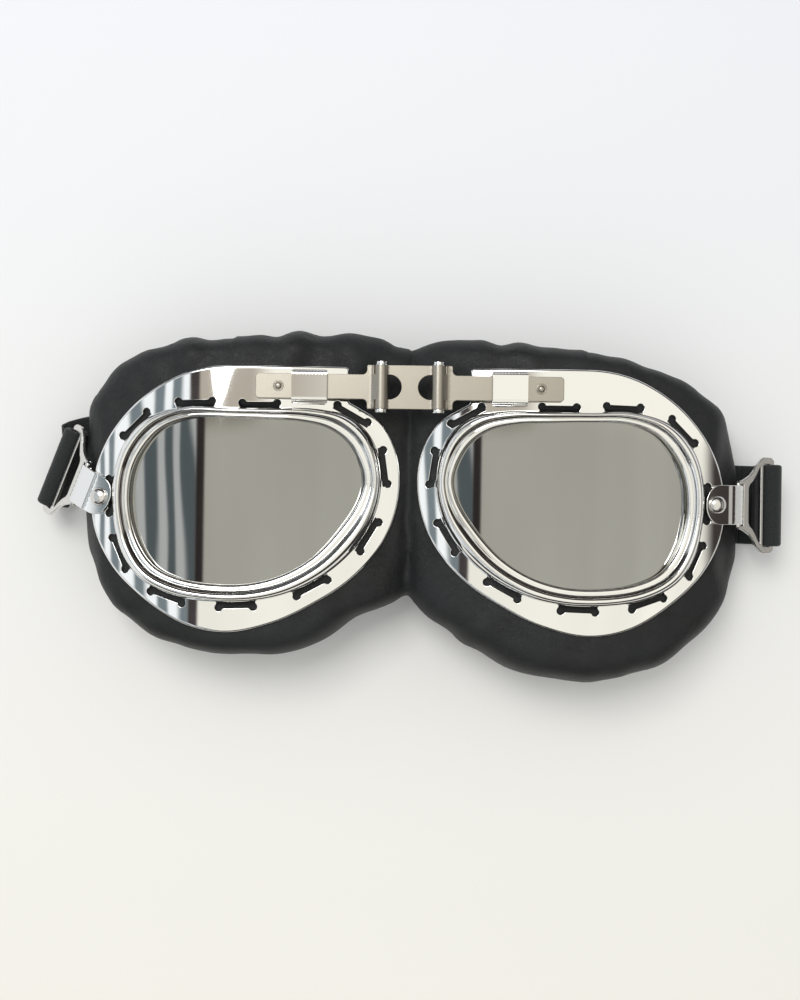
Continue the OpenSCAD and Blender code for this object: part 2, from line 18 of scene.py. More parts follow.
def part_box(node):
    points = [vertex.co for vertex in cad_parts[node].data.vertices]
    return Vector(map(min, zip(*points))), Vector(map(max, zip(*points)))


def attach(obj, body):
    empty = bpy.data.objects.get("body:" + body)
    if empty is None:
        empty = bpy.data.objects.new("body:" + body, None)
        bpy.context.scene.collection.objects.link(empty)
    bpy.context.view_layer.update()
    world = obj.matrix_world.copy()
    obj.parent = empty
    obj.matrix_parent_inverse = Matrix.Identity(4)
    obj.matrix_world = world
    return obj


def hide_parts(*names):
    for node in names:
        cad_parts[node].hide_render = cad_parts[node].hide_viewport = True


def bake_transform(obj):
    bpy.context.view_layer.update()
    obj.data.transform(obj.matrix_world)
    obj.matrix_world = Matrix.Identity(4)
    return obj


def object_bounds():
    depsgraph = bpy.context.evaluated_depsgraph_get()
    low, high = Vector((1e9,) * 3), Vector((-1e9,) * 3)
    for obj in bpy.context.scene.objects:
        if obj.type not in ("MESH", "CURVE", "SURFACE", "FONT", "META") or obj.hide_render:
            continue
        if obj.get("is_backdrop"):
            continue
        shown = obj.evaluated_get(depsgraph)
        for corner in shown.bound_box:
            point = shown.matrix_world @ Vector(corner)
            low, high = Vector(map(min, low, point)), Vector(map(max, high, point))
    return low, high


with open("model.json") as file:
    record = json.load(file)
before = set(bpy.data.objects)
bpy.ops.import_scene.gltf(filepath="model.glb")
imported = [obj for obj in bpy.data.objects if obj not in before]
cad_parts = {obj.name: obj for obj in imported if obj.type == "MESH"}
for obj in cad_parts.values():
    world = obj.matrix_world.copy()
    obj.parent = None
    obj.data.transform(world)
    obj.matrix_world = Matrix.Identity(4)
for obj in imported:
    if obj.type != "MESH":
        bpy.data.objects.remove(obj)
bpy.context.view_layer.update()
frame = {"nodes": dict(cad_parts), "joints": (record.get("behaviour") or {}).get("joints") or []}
MM = 0.001
SIDES = (("left", -1), ("right", 1))
joint_of = {j["name"]: j for j in frame["joints"]}

# %% [markdown]
# The camera hangs over the table and looks straight down from about a forearm away. That is
# close, so the raised rims look a little larger than things on the table. It is also slightly
# askew, which a small roll copies.

# %% Camera
CAMERA_HEIGHT = 340 * MM
CAMERA_SHIFT_X = -2.27 * MM
CAMERA_SHIFT_Y = 0.15 * MM
CAMERA_ROLL = 0.78
FOCAL_PIXELS = 1131
IMAGE_H = 1000
camera_data = bpy.data.cameras.new("camera")
camera_data.lens = camera_data.sensor_width * FOCAL_PIXELS / IMAGE_H
camera = bpy.data.objects.new("camera", camera_data)
camera.location = (CAMERA_SHIFT_X, CAMERA_SHIFT_Y, CAMERA_HEIGHT)
camera.rotation_euler = (0, 0, math.radians(CAMERA_ROLL))
bpy.context.scene.collection.objects.link(camera)
bpy.context.scene.camera = camera
bpy.context.scene.view_settings.view_transform = "Standard"
print("lens", round(camera_data.lens, 1), "mm")

# %% [markdown]
# A material is a small graph of nodes, and writing each link by hand is long. These helpers make
# a node in one line: its settings go by name, and an input takes either a value or another
# node's output. Groups are built the same way, so that several materials can share an effect.


# %% Node helpers
def add(tree, kind, inputs=None, **settings):
    """A new node; an input that is given another node's output is linked to it."""
    node = tree.nodes.new(kind)
    for name, value in settings.items():
        setattr(node, name, value)
    for name, value in (inputs or {}).items():
        if isinstance(value, bpy.types.NodeSocket):
            tree.links.new(value, node.inputs[name])
        else:
            node.inputs[name].default_value = value
    return node


def maths(tree, operation, *values):
    return add(tree, "ShaderNodeMath", dict(enumerate(values)), operation=operation).outputs[0]


def mapped(tree, value, low, high, to_low=0.0, to_high=1.0, kind="LINEAR"):
    return add(tree, "ShaderNodeMapRange", {"Value": value, "From Min": low, "From Max": high,
                                            "To Min": to_low, "To Max": to_high},
               interpolation_type=kind).outputs["Result"]


def cloud(tree, place, scale, detail, roughness=0.5):
    return add(tree, "ShaderNodeTexNoise", {"Vector": place, "Scale": scale, "Detail": detail,
                                            "Roughness": roughness}).outputs["Fac"]


def colour_ramp(tree, factor, first, last, low=0.3, high=0.7):
    """A colour that runs from first to last as the factor goes from low to high."""
    ramp = add(tree, "ShaderNodeValToRGB", {"Fac": factor})
    for element, place, value in zip(ramp.color_ramp.elements, (low, high), (first, last)):
        element.position = place
        element.color = (*value, 1)
    return ramp.outputs["Color"]


def bumped(tree, surface, height, depth, strength=1.0):
    bump = add(tree, "ShaderNodeBump", {"Height": height, "Distance": depth, "Strength": strength})
    tree.links.new(bump.outputs[0], surface.inputs["Normal"])


def new_group(name, inputs, outputs):
    """A group with a vector input, number inputs and number outputs."""
    tree = bpy.data.node_groups.new(name, "ShaderNodeTree")
    tree.interface.new_socket("Vector", in_out="INPUT", socket_type="NodeSocketVector")
    for label, value in inputs.items():
        socket = tree.interface.new_socket(label, in_out="INPUT", socket_type="NodeSocketFloat")
        socket.default_value = value
    for label in outputs:
        tree.interface.new_socket(label, in_out="OUTPUT", socket_type="NodeSocketFloat")
    return tree, tree.nodes.new("NodeGroupInput").outputs, tree.nodes.new("NodeGroupOutput").inputs


def new_material(name):
    material = bpy.data.materials.new(name)
    material.use_nodes = True
    tree = material.node_tree
    return material, tree, tree.nodes["Principled BSDF"]


print("node helpers ready")

# %% [markdown]
# Metal that has been handled is never quite even. One shared group gives every metal a faint
# cloudy change in gloss and a very shallow waviness, so that reflections waver a little. A noise
# texture could be put in each metal; a group keeps the effect in one place, with named amounts.

# %% Group: handled metal
handled, given, result = new_group(
    "handled metal", {"Smudge Size": 60.0, "Gloss": 0.05, "Smudge": 0.05, "Ripple Size": 40.0},
    ("Roughness", "Height"))
smudge = cloud(handled, given["Vector"], given["Smudge Size"], 4.0, 0.6)
smudge = maths(handled, "MULTIPLY", smudge, given["Smudge"])
handled.links.new(maths(handled, "ADD", smudge, given["Gloss"]), result["Roughness"])
handled.links.new(cloud(handled, given["Vector"], given["Ripple Size"], 1.0), result["Height"])
print("group", handled.name)

# %% [markdown]
# Soft leather-look skin has a fine pebble of small cells with creases between them. A Voronoi
# texture's distance to the cell edge gives the creases, and a fine noise gives the pores. The
# place is bent a little first, or the cells would look drawn with a ruler.

# %% Group: leather grain
BEND_SHARE = 0.012
CREASE_W = 0.16
PORE_DEPTH = 0.25
grain, given, result = new_group("leather grain", {"Cells": 900.0, "Pores": 4000.0}, ("Height", "Tone"))
bent = add(grain, "ShaderNodeTexNoise", {"Vector": given["Vector"], "Scale": 300.0, "Detail": 2.0})
warped = add(grain, "ShaderNodeMix", {"Factor": BEND_SHARE, "A": given["Vector"], "B": bent.outputs["Color"]},
             data_type="VECTOR")
cells = add(grain, "ShaderNodeTexVoronoi", {"Vector": warped.outputs["Result"], "Scale": given["Cells"]},
            feature="DISTANCE_TO_EDGE")
crease = mapped(grain, cells.outputs["Distance"], 0.0, CREASE_W, kind="SMOOTHSTEP")
pores = cloud(grain, given["Vector"], given["Pores"], 2.0)
grain.links.new(maths(grain, "MULTIPLY_ADD", pores, PORE_DEPTH, crease), result["Height"])
grain.links.new(cloud(grain, given["Vector"], 45.0, 3.0), result["Tone"])
print("group", grain.name)

# %% [markdown]
# Chrome plate is nearly white and very smooth. The bridge is satin nickel, warmer and brushed,
# and the loops are plainer steel. The lens is a mirror with a grey tint. They differ only in
# colour, gloss and brushing, so one function makes them all; long thin noise gives the brushing.


# %% Metals
BRUSH_SCALE = (600.0, 9000.0, 900.0)


def metal(name, colour, gloss, smudge, smudge_size, depth, brushed=0.0):
    material, tree, surface = new_material(name)
    place = add(tree, "ShaderNodeTexCoord").outputs["Object"]
    marks = add(tree, "ShaderNodeGroup", {"Vector": place, "Smudge Size": smudge_size, "Gloss": gloss,
                                          "Smudge": smudge}, node_tree=handled).outputs
    height = marks["Height"]
    if brushed:
        lines = add(tree, "ShaderNodeMapping", {"Vector": place, "Scale": BRUSH_SCALE})
        brush = cloud(tree, lines.outputs[0], 1.0, 2.0)
        height = maths(tree, "MULTIPLY_ADD", brush, brushed, height)
    bumped(tree, surface, height, depth)
    tree.links.new(marks["Roughness"], surface.inputs["Roughness"])
    surface.inputs["Base Color"].default_value = (*colour, 1)
    surface.inputs["Metallic"].default_value = 1.0
    return material


chrome = metal("chrome", (0.86, 0.86, 0.85), 0.02, 0.04, 90.0, 0.02 * MM)
nickel = metal("satin_nickel", (0.36, 0.335, 0.29), 0.3, 0.1, 200.0, 0.01 * MM, brushed=0.7)
steel = metal("polished_steel", (0.72, 0.71, 0.69), 0.16, 0.08, 150.0, 0.015 * MM)
mirror = metal("mirror_lens", (0.36, 0.36, 0.345), 0.03, 0.03, 30.0, 0.01 * MM)
print([m.name for m in (chrome, nickel, steel, mirror)])

# %% [markdown]
# The mask is soft black leather with a low sheen, where worn patches are a little lighter and
# duller. Plain black would look like a hole, so the grain group breaks up its surface, and its
# slow cloudy tone drives both the colour and the gloss.

# %% Leather
leather, tree, surface = new_material("black_leather")
place = add(tree, "ShaderNodeTexCoord").outputs["Object"]
skin = add(tree, "ShaderNodeGroup", {"Vector": place}, node_tree=grain).outputs
colour = colour_ramp(tree, skin["Tone"], (0.006, 0.007, 0.007), (0.013, 0.014, 0.015))
bumped(tree, surface, skin["Height"], 0.05 * MM, 0.8)
tree.links.new(colour, surface.inputs["Base Color"])
tree.links.new(mapped(tree, skin["Tone"], 0.3, 0.7, 0.46, 0.6), surface.inputs["Roughness"])
surface.inputs["Specular IOR Level"].default_value = 0.38
print("material", leather.name)

# %% [markdown]
# Woven elastic has fine ribs along it and short stitches across them. Modelled threads would be
# far too many, so two sine waves on the band's own UV map make them, in metres, and a bump node
# turns them into light and shade. A little sheen stands for loose fibres.

# %% Elastic
RIBS_PER_M = 1600
PICKS_PER_M = 550
PICK_DEPTH = 0.4
elastic, tree, surface = new_material("black_elastic")
along = add(tree, "ShaderNodeUVMap", uv_map="UVMap").outputs["UV"]
parts = add(tree, "ShaderNodeSeparateXYZ", {"Vector": along}).outputs
rib = maths(tree, "SINE", maths(tree, "MULTIPLY", parts["X"], RIBS_PER_M * 2 * math.pi))
pick = maths(tree, "SINE", maths(tree, "MULTIPLY", parts["Y"], PICKS_PER_M * 2 * math.pi))
height = maths(tree, "MULTIPLY_ADD", maths(tree, "MULTIPLY", pick, rib), PICK_DEPTH, rib)
fuzz = cloud(tree, along, 2500.0, 2.0)
colour = colour_ramp(tree, fuzz, (0.006, 0.007, 0.007), (0.015, 0.017, 0.017))
bumped(tree, surface, height, 0.06 * MM, 0.7)
tree.links.new(colour, surface.inputs["Base Color"])
surface.inputs["Roughness"].default_value = 0.85
surface.inputs["Sheen Weight"].default_value = 0.15
print("material", elastic.name)

# %% [markdown]
# The gasket is matt rubber and the retaining ring has a satin black coat. Both are mostly hidden,
# so one function with a fine speckle is enough for the two.


# %% Rubber and black lacquer
def dull_black(name, roughness, size):
    material, tree, surface = new_material(name)
    speck = cloud(tree, add(tree, "ShaderNodeTexCoord").outputs["Object"], size, 3.0)
    colour = colour_ramp(tree, speck, (0.012, 0.012, 0.012), (0.03, 0.03, 0.03))
    bumped(tree, surface, speck, 0.03 * MM)
    tree.links.new(colour, surface.inputs["Base Color"])
    surface.inputs["Roughness"].default_value = roughness
    return material


rubber = dull_black("gasket_rubber", 0.7, 1500.0)
lacquer = dull_black("black_lacquer", 0.35, 3000.0)
print([m.name for m in (rubber, lacquer)])

# %% [markdown]
# Every smooth ring on the goggles follows the same D-shaped run: flat along the brow, broad at
# the temple and cut off towards the nose. Twenty chosen points carry each outline, as shares of
# its width and height, and a Catmull-Rom curve joins them. The points of all outlines stand at
# matching places, so a ring can be spanned between any two of them.

# %% Outlines
RIM_SHARES = [(0.064, 0.468), (-0.098, 0.469), (-0.248, 0.469), (-0.371, 0.436), (-0.462, 0.324),
              (-0.499, 0.144), (-0.486, -0.04), (-0.428, -0.212), (-0.318, -0.37),
              (-0.176, -0.481), (-0.028, -0.53), (0.135, -0.532), (0.284, -0.495),
              (0.403, -0.404), (0.472, -0.252), (0.5, -0.054), (0.495, 0.135), (0.449, 0.297),
              (0.356, 0.418), (0.218, 0.472)]
LENS_SHARES = [(0.061, 0.481), (-0.091, 0.475), (-0.231, 0.467), (-0.354, 0.427), (-0.445, 0.326),
               (-0.499, 0.157), (-0.484, 0.01), (-0.419, -0.144), (-0.305, -0.328),
               (-0.172, -0.448), (-0.024, -0.508), (0.138, -0.513), (0.278, -0.481),
               (0.386, -0.408), (0.46, -0.262), (0.497, -0.067), (0.491, 0.126), (0.444, 0.282),
               (0.355, 0.414), (0.227, 0.477)]
RIM_SIZE = (74.4 * MM, 53 * MM)
LENS_SIZE = (65 * MM, 45.6 * MM)


def catmull(a, b, c, d, f):
    """The point at share f between b and c, on a smooth curve through all four."""
    return b + (f * (c - a) + f * f * (2 * a - 5 * b + 4 * c - d) + f ** 3 * (3 * b - a - 3 * c + d)) / 2


def smooth_at(points, t):
    i = math.floor(t)
    return catmull(*(np.array(points[(i + k) % len(points)], float) for k in (-1, 0, 1, 2)), t - i)


def outline(shares, size, per_span=8):
    points = [(x * size[0], y * size[1]) for x, y in shares]
    return np.array([smooth_at(points, k / per_span) for k in range(len(points) * per_span)])


def open_curve(points, per_span):
    points = [np.array(p, float) for p in points]
    padded = [points[0]] + points + [points[-1]]
    out = [catmull(*padded[i - 1:i + 3], k / per_span)
           for i in range(1, len(padded) - 2) for k in range(per_span)]
    return np.array(out + [points[-1]])


def unit(v):
    return v / np.linalg.norm(v, axis=-1, keepdims=True)


def outward(curve):
    ahead = unit(np.roll(curve, -1, 0) - np.roll(curve, 1, 0))
    return np.stack([ahead[:, 1], -ahead[:, 0]], 1)


def grown(curve, by):
    return curve + outward(curve) * by


lens_line = outline(LENS_SHARES, LENS_SIZE)
print("points round the lens:", len(lens_line))

# %% [markdown]
# The plate and the lens are bent like a piece of a pipe that stands upright: their height above
# the table depends on x alone. The solid model gives the crown, and these helpers give the rest.
# A bend takes flat points and returns their place, their normal and the way out over an edge.

# %% Curved sheets
HALF_X = 44.7 * MM
PLATE_RADIUS = 130 * MM
crown_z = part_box("frame_plate_right")[1].z


def pipe_z(x, radius):
    return crown_z - radius + np.sqrt(radius ** 2 - x ** 2)


def pipe(radius):
    def bend(points, out):
        x = points[:, 0]
        lean = np.sqrt(radius ** 2 - x ** 2)
        place = np.column_stack([x + HALF_X, points[:, 1], crown_z - radius + lean])
        normal = np.column_stack([x, 0 * x, lean]) / radius
        tangent = unit(np.column_stack([out[:, 0], out[:, 1], -out[:, 0] * x / lean]) + 1e-12)
        return place, normal, tangent
    return bend


print("crown", round(crown_z / MM, 2), "mm above the table")

# %% [markdown]
# Each visible piece is a new mesh that takes the place of a solid, and a fitted piece moves with
# the same body. Both halves are drawn as the right one; the left is its mirror image, with its
# faces turned round so that they still look outwards.


# %% Pieces and rings
def make_piece(name, points, faces, material, sign=1):
    """A smooth mesh; a sign of -1 makes the mirror image for the left side."""
    if sign < 0:
        faces = [f[::-1] for f in faces]
    mesh = bpy.data.meshes.new(name)
    mesh.from_pydata([tuple(p) for p in np.asarray(points) * (sign, 1, 1)], [], faces)
    mesh.materials.append(material)
    mesh.polygons.foreach_set("use_smooth", [True] * len(mesh.polygons))
    mesh.validate()
    piece = bpy.data.objects.new(name, mesh)
    bpy.context.scene.collection.objects.link(piece)
    return piece


def shade_by(piece, normals, sign):
    piece.data.normals_split_custom_set_from_vertices([tuple(n) for n in normals * (sign, 1, 1)])


def fit(piece, body, node=None):
    """Lets a piece ride on a body, and in the place of a solid if one is named."""
    if node:
        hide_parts(node)
    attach(piece, body)


def ring_faces(rings, around, closed=False):
    faces = []
    for r in range(rings if closed else rings - 1):
        for k in range(around):
            k2, r2 = (k + 1) % around, (r + 1) % rings
            faces.append((r * around + k, r * around + k2, r2 * around + k2, r2 * around + k))
    return faces


print("piece helpers ready")

# %% [markdown]
# A frame plate is one thin sheet: the smooth outline joined with the square ear that carries the
# clip. It is drawn as a line of evenly spaced points, because an even line fills with even
# triangles, and those reflect cleanly.

# %% Plate outline and ear
PLATE_SHARES = [(0.05, 0.497), (-0.09, 0.471), (-0.227, 0.423), (-0.346, 0.358), (-0.442, 0.283),
                (-0.494, 0.143), (-0.491, -0.019), (-0.441, -0.169), (-0.341, -0.301),
                (-0.216, -0.396), (-0.09, -0.464), (0.057, -0.5), (0.2, -0.47), (0.336, -0.377),
                (0.446, -0.256), (0.511, -0.099), (0.51, 0.08), (0.451, 0.242), (0.343, 0.377),
                (0.2, 0.468)]
PLATE_SIZE = (85.6 * MM, 73.6 * MM)
EAR_IN = 28.2 * MM
EAR_OUT = 5 * MM
EAR_H = 14 * MM
EAR_CORNER = 1.2 * MM
plate_line = outline(PLATE_SHARES, PLATE_SIZE, 24)


def resampled(curve, step):
    closed = np.vstack([curve, curve[:1]])
    run = np.concatenate([[0], np.cumsum(np.linalg.norm(np.diff(closed, axis=0), axis=1))])
    at = np.linspace(0, run[-1], max(8, int(round(run[-1] / step))), endpoint=False)
    return np.stack([np.interp(at, run, closed[:, k]) for k in (0, 1)], 1)


def rounded_corner(corner, before, after, radius, steps=5):
    a = corner + unit(before - corner) * radius
    b = corner + unit(after - corner) * radius
    t = np.linspace(0, 1, steps)[:, None]
    return (1 - t) ** 2 * a + 2 * t * (1 - t) * corner + t ** 2 * b


def plate_outline():
    """The smooth outline, with the ear let in where its sides cross it."""
    top = PLATE_SIZE[1] / 2
    x, y = plate_line.T
    keep = ~((x > -EAR_IN) & (x < EAR_OUT) & (y > top - EAR_H))
    first = int(np.argmax(keep & ~np.roll(keep, 1)))
    run = np.roll(plate_line, -first, 0)[:keep.sum()]
    start, corner, foot = np.array([(EAR_OUT, top), (-EAR_IN, top), (-EAR_IN, run[0][1])])
    return resampled(np.vstack([run, rounded_corner(corner, start, foot, EAR_CORNER), foot[None]]), 0.8 * MM)


plate_edge = plate_outline()
print("plate outline", len(plate_edge), "points")

# %% [markdown]
# Eleven ventilation slots follow the rim. Each is a short bar with a round lobe at both outer
# corners, punched through the sheet. Their places are steps along the rim's twenty points, so
# each slot can take its direction from the curve itself.

# %% Ventilation slots
SLOT_PLACES = [19.2, 0.7, 3.1, 4.85, 6.8, 8.55, 10.35, 12, 13.8, 15.3, 17.5]
SLOT_L = 11 * MM
SLOT_W = 2.2 * MM
SLOT_TUCK = 0.1 * MM
LOBE_R = 1.1 * MM
LOBE_SET = LOBE_R * 0.7


def slot_outline(place):
    points = [(x * RIM_SIZE[0], y * RIM_SIZE[1]) for x, y in RIM_SHARES]
    here = smooth_at(points, place)
    ahead = unit(smooth_at(points, place + 0.1) - smooth_at(points, place - 0.1))
    out = np.array([ahead[1], -ahead[0]])
    half = SLOT_L / 2
    lobe = [(half - LOBE_SET + LOBE_R * math.cos(a), SLOT_W - LOBE_SET + LOBE_R * math.sin(a))
            for a in np.radians(np.linspace(-60, 165, 14))]
    side = [(half, 0)] + lobe + [(-x, y) for x, y in lobe[::-1]] + [(-half, 0)]
    return np.array([here + ahead * u + out * (v - SLOT_TUCK) for u, v in side[::-1]])


slots = [slot_outline(p) for p in SLOT_PLACES]
print(len(slots), "slots")

# %% [markdown]
# A flat shape with holes has to become triangles before it can be bent. Points on a grid go
# inside it, and a Delaunay triangulation joins them with the outlines. That gives even, small
# triangles, where Blender's own fill would give long thin ones that bend badly.


# %% Fill a flat shape
def inside(curve, points):
    x, y = points[:, 0][:, None], points[:, 1][:, None]
    a, b = curve, np.roll(curve, -1, 0)
    crosses = (a[:, 1] > y) != (b[:, 1] > y)
    with np.errstate(divide="ignore", invalid="ignore"):
        at = (b[:, 0] - a[:, 0]) * (y - a[:, 1]) / (b[:, 1] - a[:, 1]) + a[:, 0]
    return (crosses & (x < at)).sum(1) % 2 == 1


def in_sheet(outer, holes, points):
    kept = inside(outer, points)
    for hole in holes:
        kept &= ~inside(hole, points)
    return kept


def filled(outer, holes, step):
    """Points and triangles of a flat shape, and how many points each of its lines has."""
    loops = [outer] + holes
    low, high = outer.min(0), outer.max(0)
    rows = np.arange(low[1], high[1], step * 0.87)
    grid = np.array([(x + (r % 2) * step / 2, y) for r, y in enumerate(rows)
                     for x in np.arange(low[0], high[0], step)])
    rim = np.vstack(loops)
    near = np.array([np.min(np.sum((rim - p) ** 2, 1)) for p in grid])
    grid = grid[in_sheet(outer, holes, grid) & (near > (step * 0.5) ** 2)]
    edges, start = [], 0
    for loop in loops:
        n = len(loop)
        edges += [(start + k, start + (k + 1) % n) for k in range(n)]
        start += n
    made = delaunay_2d_cdt([Vector(p) for p in np.vstack([rim, grid])], edges, [], 0, 1e-9)
    flat = np.array([tuple(v) for v in made[0]])
    faces = np.array(made[2])
    return flat, faces[in_sheet(outer, holes, flat[faces].mean(1))].tolist(), [len(loop) for loop in loops]


print(int(inside(plate_edge, lens_line).sum()), "of", len(lens_line), "lens points lie inside the plate")

# %% [markdown]
# Stamped sheet is never sharp: its edges roll over a little, and chrome shows that as a bright
# line. A profile lists the steps over an edge, and rings of points follow it from the top sheet
# to the lower one. Chrome shows every flaw too, so the normals come from the bend, not the faces.


# %% Bent sheet with rounded edges
def quarter(radius, first, last, steps):
    """Edge profile: offset, drop, share of the thickness and angle, over a part of a quarter turn."""
    return [(radius * math.sin(a), radius * (1 - math.cos(a)), 0, a)
            for a in np.radians(np.linspace(first, last, steps))]


def rounded(radius):
    """A profile that is round at the top and at the bottom."""
    top = quarter(radius, 15, 90, 4)
    return top + [(o, -d, 1, math.pi - a) for o, d, _, a in top[::-1]]


def bent_sheet(name, outer, holes, thick, material, sign, profiles, step, bend):
    """Top sheet, its copy below, and rings of edge points that join them."""
    flat, faces, sizes = filled(outer, holes, step)
    top, normal, _ = bend(flat, np.zeros((len(flat), 2)))
    depth = thick(flat) if callable(thick) else np.full(len(flat), thick)
    count = len(flat)
    points = [top, top - normal * depth[:, None]]
    normals = [normal, -normal]
    faces = faces + [[count + i for i in f[::-1]] for f in faces]
    total, start = 2 * count, 0
    for index, size in enumerate(sizes):
        loop = flat[start:start + size]
        turn_out = outward(loop) * (1 if index == 0 else -1)
        rings = [list(range(start, start + size))]
        for offset, drop, share, angle in profiles[min(index, 1)]:
            place, normal, tangent = bend(loop + turn_out * offset, turn_out)
            fall = drop + share * depth[start:start + size]
            points.append(place - normal * fall[:, None])
            normals.append(normal * math.cos(angle) + tangent * math.sin(angle))
            rings.append(list(range(total, total + size)))
            total += size
        rings.append([count + i for i in rings[0]])
        for upper, lower in zip(rings, rings[1:]):
            for k in range(size):
                k2 = (k + 1) % size
                face = [upper[k], lower[k], lower[k2], upper[k2]]
                faces.append(face if index == 0 else face[::-1])
        start += size
    piece = make_piece(name, np.vstack(points), faces, material, sign)
    shade_by(piece, unit(np.vstack(normals)), sign)
    return piece


print("a rounded edge has", len(rounded(MM)), "steps")

# %% [markdown]
# Each plate's outer edge is rolled back into a small lip, which makes the real sheet stiff and
# safe to touch. The lens hole and the slots are only punched, with a much smaller round.

# %% Frame plates
PLATE_T = 0.8 * MM
EDGE_R = 0.9 * MM
LIP = 0.5 * MM
PUNCH_R = 0.15 * MM
HOLE_MARGIN = 1.4 * MM
rolled = quarter(EDGE_R, 12, 90, 7) + [
    (EDGE_R, EDGE_R + LIP, 0, math.pi / 2), (EDGE_R - 0.3 * MM, EDGE_R + LIP, 0, math.pi),
    (EDGE_R - 0.4 * MM, EDGE_R + 0.1 * MM, 0, math.pi * 1.4)]
punched = quarter(PUNCH_R, 20, 90, 4) + [(PUNCH_R, -0.05 * MM, 1, math.pi / 2)]
slot_edges = [resampled(grown(s, PUNCH_R), 0.45 * MM) for s in slots]
hole_edge = resampled(grown(lens_line, HOLE_MARGIN + PUNCH_R), 1 * MM)
for side, sign in SIDES:
    plate = bent_sheet("plate_" + side, grown(plate_edge, -EDGE_R), [hole_edge] + slot_edges, PLATE_T,
                       chrome, sign, (rolled, punched), 2 * MM, pipe(PLATE_RADIUS))
    fit(plate, "half_" + side, "frame_plate_" + side)
    print(plate.name, len(plate.data.polygons), "faces")

# %% [markdown]
# The lens rim is a pressed ring. It is drawn as a section first: a low flange on the plate, a
# rounded bead, then two small steps down to the lens. The section is swept between the rim's
# outline and the lens's, which keeps its steps in line all the way round.

# %% Lens rims
RIM_RISE = 3.6 * MM
SEAT_GAP = 0.05 * MM
RIM_SECTION = [(0, 0), (0, 0.25), (0.02, 0.42), (0.07, 0.62), (0.14, 0.8), (0.23, 0.94), (0.33, 1),
               (0.43, 0.97), (0.52, 0.86), (0.59, 0.7), (0.64, 0.58), (0.68, 0.54), (0.76, 0.55),
               (0.86, 0.52), (0.93, 0.46), (0.98, 0.36), (1, 0.25), (1, 0)]
outer_run = outline(RIM_SHARES, RIM_SIZE, 16)
inner_run = outline(LENS_SHARES, LENS_SIZE, 16)
rings = []
for share, rise in open_curve(RIM_SECTION, 3):
    ring = outer_run + (inner_run - outer_run) * share
    height = pipe_z(ring[:, 0], PLATE_RADIUS) + SEAT_GAP + rise * RIM_RISE
    rings.append(np.column_stack([ring + (HALF_X, 0), height]))
faces = ring_faces(len(rings), len(outer_run), closed=True)
for side, sign in SIDES:
    rim = make_piece("rim_" + side, np.vstack(rings), faces, chrome, sign)
    fit(rim, "half_" + side, "lens_rim_" + side)
    print(rim.name, len(rim.data.polygons), "faces")

# %% [markdown]
# The lens is a curved disc with a mirror coat. Rings that shrink towards the middle follow the
# lens's outline, so the mesh has no seam across it. Its normals are those of the pipe, so the
# room's reflection stays as smooth as in real glass.

# %% Lenses
LENS_T = 2 * MM
LENS_RADIUS = 112 * MM
LENS_SEAT = 1.1 * MM
edge = grown(lens_line, LENS_SEAT)
around = len(edge)
reach = np.linspace(1, 0.02, 26)
disc = np.vstack([edge * r for r in reach])
place, normal, _ = pipe(LENS_RADIUS)(disc, np.zeros((len(disc), 2)))
faces = ring_faces(len(reach), around) + [tuple(range((len(reach) - 1) * around, len(reach) * around))]
low = [tuple(i + len(disc) for i in f[::-1]) for f in faces]
wall = [(k, k + len(disc), (k + 1) % around + len(disc), (k + 1) % around) for k in range(around)]
for side, sign in SIDES:
    glass = make_piece("glass_" + side, np.vstack([place, place - (0, 0, LENS_T)]), faces + low + wall,
                       mirror, sign)
    shade_by(glass, np.vstack([normal, -normal]), sign)
    fit(glass, "half_" + side, "lens_" + side)
    print(glass.name, len(glass.data.polygons), "faces")

# %% [markdown]
# The mask is one soft body: a stuffed roll round each eye, joined over the nose. Each roll is a
# section swept between the eye opening and the outer edge, and it is pressed in over the strap
# and under the strap tab. The two halves differ a little, since soft leather never sits the same
# way twice. A cloth simulation could settle it, but a firm padded roll keeps the form it is given.

# %% Mask: the two rolls
MASK_SIZE = (94 * MM, 91 * MM)
SOFT_GAP = 0.25 * MM
NOSE_ARCH = 9 * MM
STRAP_T = 1.5 * MM
STRAP_PLAY = 0.35 * MM
TAB_PRESS = 4 * MM
EYE_MARGIN = 1.9 * MM
MASK_SHARES = {
    "left": [(0.548, 0.5), (0.415, 0.514), (0.282, 0.519), (0.141, 0.512), (-0.01, 0.455),
             (-0.01, 0.22), (-0.01, 0.022), (-0.01, -0.154), (0.02, -0.302), (0.149, -0.368),
             (0.287, -0.46), (0.436, -0.487), (0.617, -0.478), (0.771, -0.429),
             (0.904, -0.324), (0.979, -0.165), (1, 0.033), (0.99, 0.21), (0.926, 0.38),
             (0.745, 0.48)],
    "right": [(0.548, 0.47), (0.42, 0.488), (0.287, 0.497), (0.15, 0.502), (-0.01, 0.455),
              (-0.01, 0.22), (-0.01, 0.022), (-0.01, -0.154), (0.011, -0.305), (0.128, -0.41),
              (0.287, -0.51), (0.468, -0.556), (0.638, -0.546), (0.787, -0.492),
              (0.929, -0.37), (1.005, -0.21), (1.02, -0.03), (1.006, 0.16), (0.93, 0.322),
              (0.734, 0.425)]}
ROLL_SECTION = [(0.01, 0.72), (0.03, 0.96), (0.3, 1.0), (0.6, 1.0), (0.8, 0.985), (0.93, 0.86),
                (1.0, 0.6), (0.985, 0.3), (0.89, 0.09), (0.7, 0.0), (0.38, 0.0), (0.17, 0.12),
                (0.05, 0.42)]


def ease(value, start, length):
    """Rises smoothly from 0 to 1 over a length."""
    t = np.clip((value - start) / length, 0, 1)
    return t * t * (3 - 2 * t)


